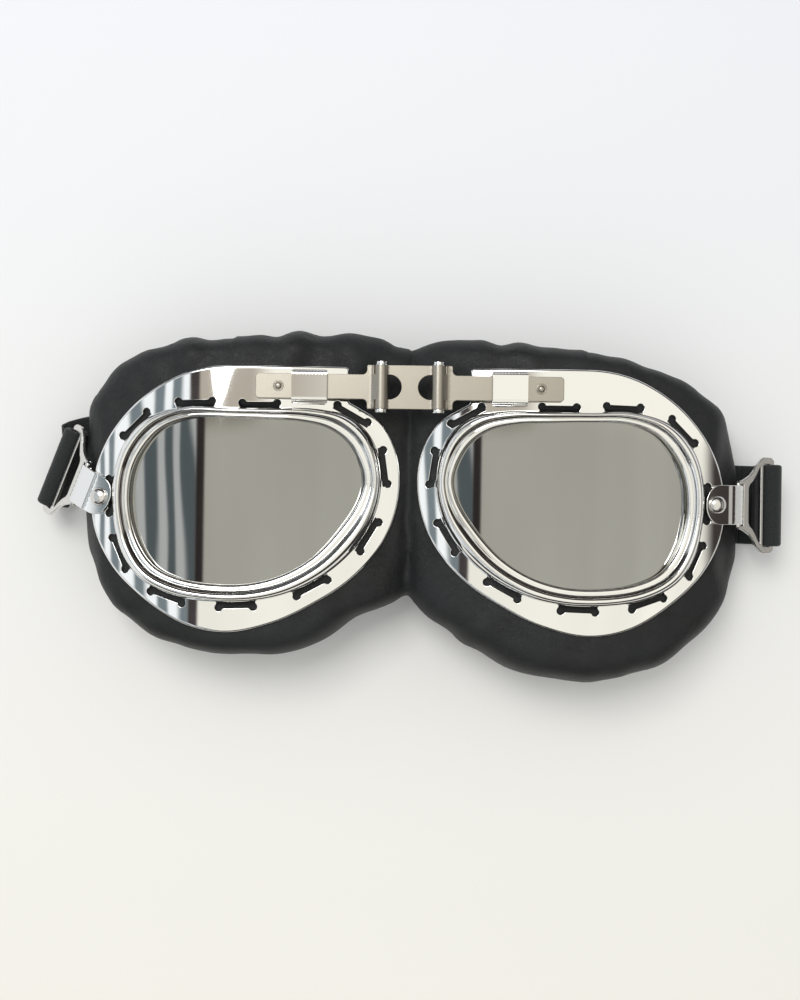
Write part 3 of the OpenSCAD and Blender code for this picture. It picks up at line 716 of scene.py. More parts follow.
def roll_floor(p):
    """Height of the underside: an arch over the nose, a notch over the strap at the temple."""
    arch = NOSE_ARCH * (1 - ease(p[:, 0], 5 * MM, 26 * MM))
    notch = (STRAP_T + STRAP_PLAY) * (1 - ease(p[:, 1], 21 * MM, 6 * MM))
    notch = notch * (1 - ease(-p[:, 1], 17 * MM, 6 * MM)) * (p[:, 0] > HALF_X)
    return np.maximum(arch, notch)


def roll_crown(p):
    """Height of the top: just under the plate, and pressed in where the strap tab passes."""
    dip = TAB_PRESS * ease(p[:, 0], HALF_X + 40.7 * MM, 6 * MM)
    dip = dip * (1 - ease(np.abs(p[:, 1]), 18 * MM, 8 * MM))
    return pipe_z(p[:, 0] - HALF_X, PLATE_RADIUS) - PLATE_T - SOFT_GAP - dip


def stuffed_roll(shares, sign):
    outer = outline(shares, MASK_SIZE)
    eye = grown(lens_line, EYE_MARGIN) + (HALF_X, 0)
    low = roll_floor(eye + (outer - eye) * 0.55)
    rings = []
    for k in range(3 * len(ROLL_SECTION)):
        share, rise = smooth_at(ROLL_SECTION, k / 3)
        p = eye + (outer - eye) * share
        rings.append(np.column_stack([p, low + (roll_crown(p) - low) * rise]))
    faces = ring_faces(len(rings), len(outer), closed=True)
    return make_piece("roll", np.vstack(rings), faces, leather, sign)


halves = [stuffed_roll(MASK_SHARES[side], sign) for side, sign in SIDES]
print("rolls", [len(h.data.polygons) for h in halves], "faces")

# %% [markdown]
# Two rolls that overlap at the nose would show a hard line there. A voxel remesh melts them into
# one skin, and a smoothing takes its steps away. Both modifiers are applied, because the folds
# that come next move the points of the melted skin.

# %% Mask: melted into one skin
VOXEL = 1.2 * MM
bpy.ops.object.select_all(action="DESELECT")
for half in halves:
    half.select_set(True)
bpy.context.view_layer.objects.active = halves[0]
bpy.ops.object.join()
mask = bpy.context.object
melt = mask.modifiers.new("melt", "REMESH")
melt.mode = "VOXEL"
melt.voxel_size = VOXEL
soften = mask.modifiers.new("soften", "SMOOTH")
soften.factor = 0.5
soften.iterations = 8
graph = bpy.context.evaluated_depsgraph_get()
skin_mesh = bpy.data.meshes.new_from_object(mask.evaluated_get(graph))
mask.modifiers.clear()
mask.data = skin_mesh
print("mask", len(mask.data.vertices), "points")

# %% [markdown]
# The skin is glued to the back of the plates and gathered along that seam, so small folds run
# out from it, more of them at the brow. Each fold is a soft ridge across the edge that dies away.
# Two waves of different length, made uneven by a noise, look less regular than one.

# %% Mask: gathers
# pitch, depth and starting angle of each wave
GATHERS = [(15 * MM, 0.8 * MM, 0.0), (9 * MM, 0.35 * MM, 2.0)]
WANDER = 2.2


def skin_points(piece):
    co = np.empty(len(piece.data.vertices) * 3)
    piece.data.vertices.foreach_get("co", co)
    no = np.empty(len(piece.data.vertices) * 3)
    piece.data.vertex_normals.foreach_get("vector", no)
    return co.reshape(-1, 3), no.reshape(-1, 3)


def nearest_on(curve, points):
    """Distance to a closed curve, and how far round it the nearest point lies."""
    run = np.concatenate([[0], np.cumsum(np.linalg.norm(np.diff(curve, axis=0), axis=1))])
    best, along = np.zeros(len(points)), np.zeros(len(points))
    for start in range(0, len(points), 4000):
        rows = slice(start, start + 4000)
        d = np.linalg.norm(points[rows, None] - curve[None], axis=2)
        best[rows] = d.min(1)
        along[rows] = run[d.argmin(1)]
    return best, along


co, no = skin_points(mask)
sides = np.where(co[:, 0] < 0, -1, 1)
flat = np.column_stack([co[:, 0] * sides - HALF_X, co[:, 1]])
away, along = nearest_on(plate_line, flat)
lift = np.zeros(len(co))
for k, (pitch, depth, phase) in enumerate(GATHERS):
    wander = np.array([noise.noise(Vector((a * 60 + 7 * k, s * 5.0, d * 90)))
                       for a, s, d in zip(along, sides, away)])
    wave = np.cos(2 * np.pi * along / pitch + phase + WANDER * wander)
    lift += depth * wave * (0.55 + 0.6 * wander)
upper = ease(co[:, 2], 6 * MM, 9 * MM)
brow = 0.45 + 0.75 * ease(co[:, 1], 18 * MM, 18 * MM) * np.where(sides < 0, 1.0, 0.5)
strength = ~inside(plate_line, flat) * upper * brow * ease(away, -0.5 * MM, 3.5 * MM)
co += no * (lift * strength)[:, None]
co[:, 2] = np.maximum(co[:, 2], 0)
mask.data.vertices.foreach_set("co", co.ravel())
mask.data.update()
print("gathered", int((strength > 0.1).sum()), "points")

# %% [markdown]
# The mask is cut into four pieces at the middle and at the hinge lines. The normals are taken
# before the cut, so that the cuts don't show.

# %% Mask: cut into pieces
HINGE_X = 9 * MM


def band_of(skin, name, low, high):
    """A copy of the part of a skin between two upright planes, with the whole skin's normals."""
    work = bmesh.new()
    work.from_mesh(skin.data)
    layer = work.verts.layers.float_vector.new("kept")
    for v, n in zip(work.verts, skin_points(skin)[1]):
        v[layer] = Vector(n)
    for x, keep in ((low, 1), (high, -1)):
        if x is not None:
            geom = work.verts[:] + work.edges[:] + work.faces[:]
            bmesh.ops.bisect_plane(work, geom=geom, plane_co=(x, 0, 0), plane_no=(keep, 0, 0),
                                   clear_inner=True)
    kept = [tuple(v[layer].normalized()) for v in work.verts]
    mesh = bpy.data.meshes.new(name)
    work.to_mesh(mesh)
    work.free()
    mesh.materials.append(leather)
    mesh.polygons.foreach_set("use_smooth", [True] * len(mesh.polygons))
    mesh.normals_split_custom_set_from_vertices(kept)
    part = bpy.data.objects.new(name, mesh)
    bpy.context.scene.collection.objects.link(part)
    return part


for side, sign in SIDES:
    nose = band_of(mask, "mask_nose_" + side, *sorted((0, sign * HINGE_X)))
    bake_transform(nose)
    eye_part = band_of(mask, "mask_" + side, *((HINGE_X, None) if sign > 0 else (None, -HINGE_X)))
    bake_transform(eye_part)
    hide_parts("face_cushion_" + side)
    if side == "left":
        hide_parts("nose_pad")
    print(nose.name, len(nose.data.polygons), eye_part.name, len(eye_part.data.polygons))
bpy.data.objects.remove(mask)

# %% [markdown]
# The bridge and the strap fittings are stamped and folded from strip. Each is drawn flat first,
# then bent along a path: over the arm for a clip, round a pin for an arm, and down and round the
# loop's bar for a strap tab. A path keeps every length true, as a press brake does.

# %% Paths to fold a strip along
X, Y, Z = np.eye(3)
NEAR_BEND = 0.12 * MM
LONG_RUN = 0.5 * MM


def rounded_path(corners, cut, steps=6):
    """A line through corner points, each corner cut off by a curve."""
    corners = [np.array(c, float) for c in corners]
    curves = [rounded_corner(here, before, after, cut, steps)
              for before, here, after in zip(corners, corners[1:], corners[2:])]
    return np.vstack([corners[:1]] + curves + [corners[-1:]])


def arc(centre, radius, first, last, steps):
    angles = np.radians(np.linspace(first, last, steps))
    return np.column_stack([centre[0] + radius * np.cos(angles), centre[1] + radius * np.sin(angles)])


class Path:
    """A line in a plane that can be walked along: place and slope at any distance."""
    def __init__(self, points, start=0.0):
        kept = [points[:1]]
        for a, step in zip(points, np.diff(points, axis=0)):
            gap = np.linalg.norm(step)
            # a straight run gets a point near each end, so that only its bends look bent
            shares = (NEAR_BEND / gap, 1 - NEAR_BEND / gap, 1) if gap > LONG_RUN else (1,)
            if gap > 1e-7:
                kept.append(np.array([a + step * f for f in shares]))
        self.points = np.vstack(kept)
        gaps = np.linalg.norm(np.diff(self.points, axis=0), axis=1)
        self.run = start + np.concatenate([[0], np.cumsum(gaps)])
        self.slope = unit(np.gradient(self.points, self.run, axis=0))

    def at(self, s):
        place = np.column_stack([np.interp(s, self.run, self.points[:, k]) for k in (0, 1)])
        slope = unit(np.column_stack([np.interp(s, self.run, self.slope[:, k]) for k in (0, 1)]))
        past_end = s - np.clip(s, self.run[0], self.run[-1])
        return place + slope * past_end[:, None], slope


def placed_on(path, lengthwise, crosswise, upward, origin):
    """A bend that walks the flat shape's first direction along a path."""
    def bend(points, out):
        place, slope = path.at(points[:, 0])
        world = origin + place[:, :1] * lengthwise + place[:, 1:] * upward + points[:, 1:] * crosswise
        along = slope[:, :1] * lengthwise + slope[:, 1:] * upward
        normal = slope[:, :1] * upward - slope[:, 1:] * lengthwise
        tangent = unit(along * out[:, :1] + crosswise * out[:, 1:] + 1e-12)
        return world, normal, tangent
    return bend


PIN = np.array(joint_of["bridge_hinge_right"]["pos_m"])
print("hinge pins at", np.round(PIN / MM, 2), "mm")

# %% [markdown]
# Pin heads, rivets, dimples and bars are round. They are turned like parts on a lathe: a few
# radius and height pairs give the profile, which is smoothed and spun about an axis.


# %% Turned parts
def turned(name, profile, foot, axis, material, around=40):
    side_way = unit(np.cross(axis, (0.31, 0.2, 0.93)))
    angles = np.linspace(0, 2 * np.pi, around, endpoint=False)
    ring = np.cos(angles)[:, None] * side_way + np.sin(angles)[:, None] * np.cross(axis, side_way)
    curve = open_curve(profile, 4) * MM
    points = np.vstack([np.array(foot) + ring * r + axis * h for r, h in curve])
    faces = [f[::-1] for f in ring_faces(len(curve), around)]
    faces += [tuple(range(around)), tuple(range(len(points) - around, len(points)))[::-1]]
    return make_piece(name, points, faces, material)


PIN_HEAD = [(1.25, 0), (1.6, 0.05), (1.65, 0.2), (1.55, 0.38), (1.2, 0.42), (1.15, 0.6), (1.0, 0.9),
            (0.6, 1.12), (0.02, 1.2)]
PIN_TAIL = [(1.25, 0), (1.45, 0.08), (1.4, 0.35), (1.1, 0.55), (0.5, 0.62), (0.02, 0.64)]
LINK_H = 11.6 * MM
PIN_REACH = LINK_H / 2 + 0.1 * MM
for side, sign in SIDES:
    head = turned("pin_head_" + side, PIN_HEAD, (PIN + Y * PIN_REACH) * (sign, 1, 1), Y, chrome)
    tail = turned("pin_tail_" + side, PIN_TAIL, (PIN - Y * PIN_REACH) * (sign, 1, 1), -Y, chrome)
    for piece in (head, tail):
        fit(piece, "bridge")
    print(head.name, len(head.data.polygons), tail.name, len(tail.data.polygons))

# %% [markdown]
# The link joins the two hinge pins over the nose. It is a flat strip whose ends are hooked round
# the pins, with a round notch at each end that lets the arm's knuckle through. It is satin nickel,
# so its small edge radius matters less than the clean bend.

# %% Bridge link
STRIP_T = 1.1 * MM
STRIP_R = 0.18 * MM
KNUCKLE_R = 2 * MM
NOTCH_R = 3.5 * MM
NOTCH_BACK = 2.2 * MM
LINK_CORNER = 0.4 * MM
tall = LINK_H / 2
hook = arc((PIN[0], 0), KNUCKLE_R, 160, -110, 30)
link_path = Path(np.vstack([hook[::-1] * (-1, 1), hook]))
link_path.run -= link_path.run[-1] / 2
link_end = link_path.run[-1]
cut_end = link_end - LINK_CORNER
notch = arc((PIN[0] - NOTCH_BACK, 0), NOTCH_R, 270, 90, 30)
right_part = np.vstack([[(cut_end, -tall), (link_end, LINK_CORNER - tall), (link_end, -NOTCH_R)], notch,
                        [(link_end, NOTCH_R), (link_end, tall - LINK_CORNER), (cut_end, tall)]])
link_shape = resampled(np.vstack([right_part, -right_part]), 0.35 * MM)
link = bent_sheet("link_plate", link_shape, [], STRIP_T, nickel, 1, (rounded(STRIP_R), None), 0.6 * MM,
                  placed_on(link_path, X, Y, Z, PIN * (0, 1, 1)))
fit(link, "bridge", "bridge_link")
print(link.name, len(link.data.polygons), "faces")

# %% [markdown]
# Each bridge arm is a strip that is rolled round its pin and runs out through the clip. It is
# wider at the knuckle, with a small fillet, and a dimple near its free end stops the clip. The
# dimple is a separate turned cap, which is far simpler than pressing the strip's own mesh.

# %% Bridge arms
ARM_W = 6.4 * MM
ARM_T = 1.2 * MM
ARM_L = 34 * MM
BARREL_H = 6.8 * MM
BARREL_BACK = 6.5 * MM
FLARE_IN = 2.12 * MM
FLARE_OUT = 3.7 * MM
FILLET = 1.4 * MM
ARM_CORNER = 0.5 * MM
DIMPLE_IN = 6 * MM
DIMPLE = [(1.5, -0.05), (1.45, 0.06), (1.25, 0.1), (1.05, -0.04), (0.95, 0.05), (0.85, 0.3), (0.5, 0.52),
          (0.02, 0.58)]
half = ARM_W / 2
upper = [(-BARREL_BACK, BARREL_H / 2), (FLARE_IN, BARREL_H / 2), (FLARE_IN, tall), (FLARE_OUT, tall)]
upper += [(FLARE_OUT + FILLET * (1 - math.cos(a)), half + FILLET * (1 - math.sin(a)))
          for a in np.radians(np.linspace(0, 90, 6))]
upper += [(ARM_L - ARM_CORNER, half), (ARM_L, half - ARM_CORNER)]
arm_shape = resampled(np.array([(x, -y) for x, y in upper] + upper[::-1]), 0.35 * MM)
curl = arc((0, 0), KNUCKLE_R, 290, 38, 30)
arm_path = Path(np.vstack([curl, [(FLARE_IN + 0.6 * MM, ARM_T / 2), (ARM_L, ARM_T / 2)]]))
arm_path.run -= arm_path.run[-1] - ARM_L
dimple_at = PIN + X * (ARM_L - DIMPLE_IN) + Z * ARM_T / 2
for side, sign in SIDES:
    arm = bent_sheet("arm_" + side + "_strip", arm_shape, [], STRIP_T, nickel, sign,
                     (rounded(STRIP_R), None), 0.8 * MM, placed_on(arm_path, X, Y, Z, PIN))
    fit(arm, "arm_" + side, "bridge_arm_" + side)
    dimple = turned("dimple_" + side, DIMPLE, dimple_at * (sign, 1, 1), Z, nickel)
    fit(dimple, "arm_" + side)
    print(arm.name, len(arm.data.polygons), "faces")

# %% [markdown]
# The clip is a band of chrome folded over the arm, with two small feet on the plate's ear. Its
# long corners are soft, because thin chrome sheet is folded over a tool and not over an edge.

# %% Arm clips
CLIP_X = PIN[0] + 14.2 * MM
CLIP_L = 10.6 * MM
CLIP_W = 8.4 * MM
CLIP_WALL = 0.8 * MM
CLIP_FOOT = 0.9 * MM
CLIP_BEND = 0.9 * MM
CLIP_GAP = 0.12 * MM
SOFT_R = 0.5 * MM
roof = PIN[2] + ARM_T / 2 + CLIP_GAP + 0.9 * MM
floor = PIN[2] - ARM_T / 2 - CLIP_GAP
wall = CLIP_W / 2
foot = wall + CLIP_FOOT
clip_path = Path(rounded_path([(-foot, floor), (-wall, floor), (-wall, roof), (wall, roof), (wall, floor),
                               (foot, floor)], CLIP_BEND))
left, right = SOFT_R, clip_path.run[-1] - SOFT_R
back, front = SOFT_R, CLIP_L - SOFT_R
clip_shape = rounded_path([(left, CLIP_L / 2), (left, front), (right, front), (right, back), (left, back),
                           (left, CLIP_L / 2)], 0.4 * MM, 4)[1:]
soft_edge = quarter(SOFT_R, 10, 90, 7) + [(SOFT_R, 0, 1, math.pi / 2)]
for side, sign in SIDES:
    clip = bent_sheet("clip_" + side, resampled(clip_shape, 0.3 * MM), [], CLIP_WALL, chrome, sign,
                      (soft_edge, None), 0.5 * MM,
                      placed_on(clip_path, Y, -X, Z, X * (CLIP_X + CLIP_L) + Y * PIN[1]))
    fit(clip, "half_" + side, "arm_clip_" + side)
    print(clip.name, len(clip.data.polygons), "faces")

# %% [markdown]
# At each temple a tab swivels on a rivet in the plate, and a loop hangs in the tab's rolled end.
# Both lean with the curved plate, and the left ones also rest turned up, as the strap was left.
# Two turns give their directions; the fittings can then be drawn flat and put in place by them.

# %% Which way the fittings point
RIVET = np.array(joint_of["tab_swivel_right"]["pos_m"])
RIVET_TILT = math.asin((RIVET[0] - HALF_X) / PLATE_RADIUS)
SWIVEL = {"left": math.radians(24), "right": 0.0}
HANG = {"left": math.radians(26), "right": math.radians(10)}


def about_y(v, a):
    return np.array((v[0] * math.cos(a) + v[2] * math.sin(a), v[1], v[2] * math.cos(a) - v[0] * math.sin(a)))


def about_z(v, a):
    return np.array((v[0] * math.cos(a) - v[1] * math.sin(a), v[0] * math.sin(a) + v[1] * math.cos(a), v[2]))


def tab_ways(side):
    """A tab's own directions: along it, across it and out of its face."""
    return [about_y(about_z(v, SWIVEL[side]), RIVET_TILT) for v in (X, Y, Z)]


def loop_ways(side):
    """The same three directions for a loop."""
    return [about_y(about_z(about_y(v, HANG[side]), SWIVEL[side]), RIVET_TILT) for v in (X, Y, Z)]


print("the tabs lean", round(math.degrees(RIVET_TILT), 1), "degrees")

# %% [markdown]
# A strap tab is a strip with a round nose under the rivet, bent down over the plate's edge and
# rolled round the loop's bar. The strip is thinner in the roll, so that it closes on the bar
# without touching it. The roll is an arc at the end of the path that the strip follows.

# %% Strap tabs
TAB_TOP = 1.25 * MM
TAB_T = 0.95 * MM
TAB_W = 11 * MM
TAB_FLAT = 4.6 * MM
TAB_CORNER = 4.4 * MM
TAB_L = 9.4 * MM
TAB_BEND = math.radians(30)
BEND_Z0 = 0.65 * MM
ROLL_R = 1.45 * MM
BAR_R = 0.8 * MM
BAR_PLAY = 0.06 * MM
NOSE = [(-3.2, -0.01), (-3.1, 1.6), (-2.3, 3.4), (-1.2, 4.6), (0.3, 5.2), (1.4, 5.3)]
roll_at = (np.array((TAB_FLAT, BEND_Z0))
           + np.array((math.cos(TAB_BEND), -math.sin(TAB_BEND))) * (TAB_L - TAB_FLAT))
round_roll = arc(roll_at, ROLL_R, 72, -150, 26)
bent_line = rounded_path([(-3.9 * MM, TAB_TOP), (TAB_CORNER, TAB_TOP), round_roll[0]], 1.6 * MM, 10)
tab_path = Path(np.vstack([[(-4 * MM, TAB_TOP)], bent_line, round_roll[1:]]), start=-4 * MM)
edge = np.vstack([open_curve(NOSE, 4)[1:] * MM, [(tab_path.run[-1], TAB_W / 2 - 0.2 * MM)]])
tab_shape = resampled(np.vstack([edge * (1, -1), edge[::-1]]), 0.4 * MM)


def tab_thickness(p):
    return np.interp(p[:, 0], [TAB_FLAT, TAB_L - ROLL_R], [TAB_T, ROLL_R - BAR_R - BAR_PLAY])


for side, sign in SIDES:
    tab = bent_sheet("tab_" + side + "_strip", tab_shape, [], tab_thickness, chrome, sign,
                     (rounded(0.2 * MM), None), 0.8 * MM, placed_on(tab_path, *tab_ways(side), RIVET))
    fit(tab, "tab_" + side, "strap_tab_" + side)
    print(tab.name, len(tab.data.polygons), "faces")

# %% [markdown]
# The rivet's head is a low steel dome with a small step at its foot. It stands just clear of the
# tab, which has to turn under it.

# %% Tab rivets
RIVET_HEAD = [(2.0, 0), (2.3, 0.12), (2.48, 0.32), (2.45, 0.55), (2.2, 0.9), (1.7, 1.25), (0.9, 1.55),
              (0.02, 1.65)]
RIVET_GAP = 0.04 * MM
for side, sign in SIDES:
    up = tab_ways(side)[2]
    dome = turned("rivet_head_" + side, RIVET_HEAD, (RIVET + up * (TAB_TOP + RIVET_GAP)) * (sign, 1, 1),
                  up * (sign, 1, 1), steel)
    fit(dome, "half_" + side, "tab_rivet_" + side)
    print(dome.name, len(dome.data.polygons), "faces")

# %% [markdown]
# A strap loop is stamped from steel plate: narrow ears at the tab, then wide shoulders, a window
# that lightens it and a long slot for the strap. One half of each line is written down and
# mirrored. A thin turned bar joins the ears and runs through the tab's roll.

# %% Strap loops
LOOP_L = 12.8 * MM
LOOP_T = 1 * MM
LOOP_EAR = 6.1 * MM
LOOP_THROAT = ROLL_R + 0.55 * MM
LOOP_R = 0.25 * MM
LOOP_OUTER = [(-0.65, 6.1), (-0.65, 6.25), (-0.3, 6.4), (1.2, 6.7), (2.6, 7.3), (4.4, 8.3), (6.0, 9.9),
              (7.6, 12.0), (8.8, 13.2), (9.8, 13.6), (12.4, 13.5), (13.3, 12.8)]
LOOP_WINDOW = [(3.5, 4.9), (4.0, 6.0), (5.2, 7.0), (6.6, 9.0), (7.8, 11.0), (8.3, 11.3), (8.55, 10.9)]
LOOP_SLOT = [(9.1, 11.7), (9.4, 12.0), (11.8, 12.0), (12.1, 11.7)]
BAR = [(0.02, -6.45), (0.5, -6.4), (0.75, -6.2), (0.8, -5.9), (0.8, 5.9), (0.75, 6.2), (0.5, 6.4),
       (0.02, 6.45)]
FINE = 0.35 * MM


def both_ways(points):
    points = np.array(points, float) * MM
    return np.vstack([points * (1, -1), points[::-1]])


throat = [(LOOP_THROAT, LOOP_EAR), (LOOP_THROAT, -LOOP_EAR)]
loop_shape = resampled(np.vstack([both_ways(LOOP_OUTER), throat]), FINE)
loop_holes = [resampled(both_ways(line), FINE) for line in (LOOP_WINDOW, LOOP_SLOT)]
loop_path = Path(np.array([(-5 * MM, 0), (20 * MM, 0)]), start=-5 * MM)
for side, sign in SIDES:
    along, _, up = tab_ways(side)
    roll = RIVET + along * roll_at[0] + up * roll_at[1]
    along, across, up = loop_ways(side)
    loop = bent_sheet("loop_" + side + "_plate", loop_shape, loop_holes, LOOP_T, steel, sign,
                      (rounded(LOOP_R), rounded(LOOP_R)), 0.7 * MM,
                      placed_on(loop_path, along, across, up, roll + up * LOOP_T / 2))
    fit(loop, "loop_" + side, "strap_loop_" + side)
    bar = turned("loop_bar_" + side, BAR, roll * (sign, 1, 1), across * (sign, 1, 1), steel)
    fit(bar, "loop_" + side)
    offset = np.linalg.norm(roll * (sign, 1, 1) - np.array(joint_of["loop_swing_" + side]["pos_m"]))
    print("loop", side, "bar is", round(offset / MM, 3), "mm off the joint's axis")

# %% [markdown]
# The elastic strap is a flat band with rounded edges, laid along a line with a width direction
# at each point. A curve object with a bevel could do that, but a band made ring by ring can be
# cut into pieces, twisted and given a UV map in metres for the weave.

# %% A band of elastic
STRAP_W = 23.4 * MM
TABLE_GAP = 0.02 * MM
half_r = STRAP_T / 2
flat_half = STRAP_W / 2 - half_r
band_rim = [(s, half_r) for s in np.linspace(-flat_half, flat_half, 13)]
band_rim += [(flat_half + half_r * math.cos(a), half_r * math.sin(a))
             for a in np.radians(np.linspace(90, -90, 7))[1:-1]]
band_rim = np.vstack([band_rim, -np.array(band_rim)])
AROUND = len(band_rim)


def strap_band(name, line, ahead, across, first=0.0):
    """UV x runs across the band and y along it. No ring goes below the table."""
    ahead = unit(ahead)
    side = unit(across - ahead * np.sum(across * ahead, axis=1)[:, None])
    up = np.cross(side, ahead)
    run = first + np.concatenate([[0], np.cumsum(np.linalg.norm(np.diff(line, axis=0), axis=1))])
    points = line[:, None] + side[:, None] * band_rim[None, :, :1] + up[:, None] * band_rim[None, :, 1:]
    points[:, :, 2] += np.maximum(0, TABLE_GAP - points[:, :, 2].min(1))[:, None]
    faces = ring_faces(len(line), AROUND)
    faces += [tuple(range(AROUND))[::-1], tuple((len(line) - 1) * AROUND + i for i in range(AROUND))]
    piece = make_piece(name, points.reshape(-1, 3), faces, elastic)
    layer = piece.data.uv_layers.new(name="UVMap")
    for loop in piece.data.loops:
        ring, k = divmod(loop.vertex_index, AROUND)
        layer.data[loop.index].uv = (band_rim[k, 0], run[ring])
    return piece


print("a ring of the band has", AROUND, "points")

# %% [markdown]
# The middle of the strap lies folded in three layers under the goggles, where the photo can't
# see it. It is one band that follows an S-shaped line, so its length is real.

# %% Folded middle
FOLD_HALF_L = 43 * MM
FOLD_Y = 4 * MM
LEAD_START = 57 * MM
LAYER = 1.8 * MM
base = STRAP_T / 2
turn = [(LAYER / 2 * math.cos(a), LAYER / 2 * math.sin(a)) for a in np.radians(np.linspace(-90, 90, 9))]
fold_xz = [(-LEAD_START, base), (0, base)]
fold_xz += [(FOLD_HALF_L + c, base + LAYER / 2 + s) for c, s in turn]
fold_xz += [(0, base + LAYER)]
fold_xz += [(-FOLD_HALF_L - c, base + LAYER * 1.5 + s) for c, s in turn]
fold_xz += [(0, base + 2 * LAYER), (FOLD_HALF_L - LAYER, base + 2 * LAYER),
            (FOLD_HALF_L + 3 * LAYER, base + 1.5 * LAYER), (LEAD_START - 2 * LAYER, base + 0.2 * LAYER),
            (LEAD_START, base)]
line = np.array([(x, FOLD_Y, z) for x, z in fold_xz])
fold = strap_band("strap_folded", line, np.gradient(line, axis=0), np.tile(Y, (len(line), 1)))
fit(fold, "bridge", "strap_fold")
print("folded length", round(np.linalg.norm(np.diff(line, axis=0), axis=1).sum() / MM), "mm")

# %% [markdown]
# Each end comes from under the goggles, turns up, goes over the loop's outer bar and is sewn to
# itself. On the way it twists from level to the loop's own lean. It crosses four joints and is cut
# into four pieces; the cuts share a ring.

# %% Strap ends
WRAP_R = 1.35 * MM + STRAP_T / 2
BAR_SHIFT = 0.1 * MM
ROUTE = {
    "left": [(57, 4, 0.75), (66, 6.5, 0.75), (76, 10, 0.75), (85, 12.5, 0.8), (92, 12.5, 0.9),
             (98, 10.8, 1.4), (101.6, 9.6, 3.4)],
    "right": [(57, 4, 0.75), (66, 3.2, 0.75), (76, 2, 0.75), (85, 1, 0.75), (93, 0.4, 0.8),
              (101, 0.1, 1.0), (105.8, 0, 3.2)],
}
# places along the loop's lift and out directions, in mm from its bar
LOW_POINT = (-4.4, 1.9)
TAIL = [(-3.4, -0.9), (-5.6, 0.35), (-7.2, 0.7)]
WRAP_TURNS = np.radians([-5, 35, 75, 115, 155, 195])
PER_SPAN = 8
TWIST_START = 82 * MM
TWIST_L = 17 * MM
CUTS = (70 * MM, 84 * MM, 98.5 * MM)


for side, sign in SIDES:
    out, across, lift = (v * (sign, 1, 1) for v in loop_ways(side))
    bar = np.array(joint_of["loop_swing_" + side]["pos_m"]) + out * (LOOP_L + BAR_SHIFT)
    route = [np.array(p) * MM * (sign, 1, 1) for p in ROUTE[side]]
    low_point, *tail = (bar + (lift * a + out * b) * MM for a, b in [LOW_POINT] + TAIL)
    wrap = [bar + WRAP_R * (out * math.cos(a) + lift * math.sin(a)) for a in WRAP_TURNS]
    line = open_curve(route + [low_point] + wrap + tail, PER_SPAN)
    x = np.abs(line[:, 0])
    twist = ease(x, TWIST_START, TWIST_L)
    twist[PER_SPAN * (len(route) - 1):] = 1
    width = Y * (1 - twist)[:, None] + across * twist[:, None]
    heading = np.gradient(line, axis=0)
    marks = [0] + [int(np.argmax(x > c)) for c in CUTS] + [len(line) - 1]
    stands_for = {2: "strap_lead_", 3: "strap_end_"}
    run = 0.0
    for number in range(4):
        rows = slice(marks[number], marks[number + 1] + 1)
        part = line[rows]
        piece = strap_band("strap_%s_%d" % (side, number + 1), part, heading[rows], width[rows], run)
        run += np.sum(np.linalg.norm(np.diff(part, axis=0), axis=1))
        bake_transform(piece)
        if number in stands_for:
            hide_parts(stands_for[number] + side)
    print("strap", side, "runs", round(run / MM), "mm from the fold; bar at", [round(v / MM, 1) for v in bar])

# %% [markdown]
# The hinge pins, gaskets and retaining rings keep the shapes of the solid model. A real pin or
# ring has no knife edges, so those two get a small rounded edge from a bevel modifier.

# %% Small hardware
# material, and the width of the rounded edge
FINISH = {"hinge_pin": (chrome, 0.25 * MM), "lens_gasket": (rubber, None),
          "lens_retainer": (lacquer, 0.2 * MM)}
for kind, (material, width) in FINISH.items():
    for side, _ in SIDES:
        piece = frame["nodes"][kind + "_" + side]
        piece.data.materials.clear()
        piece.data.materials.append(material)
        if width:
            weld = piece.modifiers.new("weld", "WELD")
            weld.merge_threshold = 0.002 * MM
            edge = piece.modifiers.new("rounded edge", "BEVEL")
            edge.width = width
            edge.segments = 3
            edge.limit_method = "ANGLE"
            edge.angle_limit = math.radians(32)
            edge.use_clamp_overlap = True
            edge.harden_normals = True
        print(piece.name, "is", material.name)

# %% [markdown]
# The stage begins with a pale table. Its colour carries painted light: warm and a little lighter at
# the cheek side and cooler at the brow side, as lamps of two colours would light it; a colour ramp
# across one big plane is simpler.

# %% Table
TABLE_SIZE = 10.0
FADE = 0.16
table_material, tree, surface = new_material("table")
place = add(tree, "ShaderNodeTexCoord").outputs["Object"]
depth = add(tree, "ShaderNodeSeparateXYZ", {"Vector": place}).outputs["Y"]
# painted light: a warm, lighter tint at the cheek side and a cool one at the brow side
painted_light_tint = colour_ramp(tree, mapped(tree, depth, -FADE, FADE), (0.87, 0.845, 0.76), (0.79, 0.80, 0.815), 0.0, 1.0)
tree.links.new(painted_light_tint, surface.inputs["Base Color"])
surface.inputs["Roughness"].default_value = 0.7
surface.inputs["Specular IOR Level"].default_value = 0.2
bpy.ops.mesh.primitive_plane_add(size=TABLE_SIZE)
table = bpy.context.object
table.name = "table"
table.data.materials.append(table_material)
table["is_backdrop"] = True
print("table", TABLE_SIZE, "m wide")

# %% [markdown]
# Polished metal needs something to mirror. The room is drawn in the world's background: a place
# in it is a direction, and x or y over z says how far to the side or to the brow a ray goes. The
# first step is the ceiling, blotchy and pale, which is in shade beyond the brow on the left.

# %% Room: ceiling
world = bpy.data.worlds.new("room")
bpy.context.scene.world = world
world.use_nodes = True
room = world.node_tree


def mixed(factor, a, b):
    """A colour between a and b; each is a colour or another node's output."""
    a, b = ((*c, 1) if isinstance(c, tuple) else c for c in (a, b))
    return add(room, "ShaderNodeMix", {"Factor": factor, 6: a, 7: b}, data_type="RGBA").outputs[2]


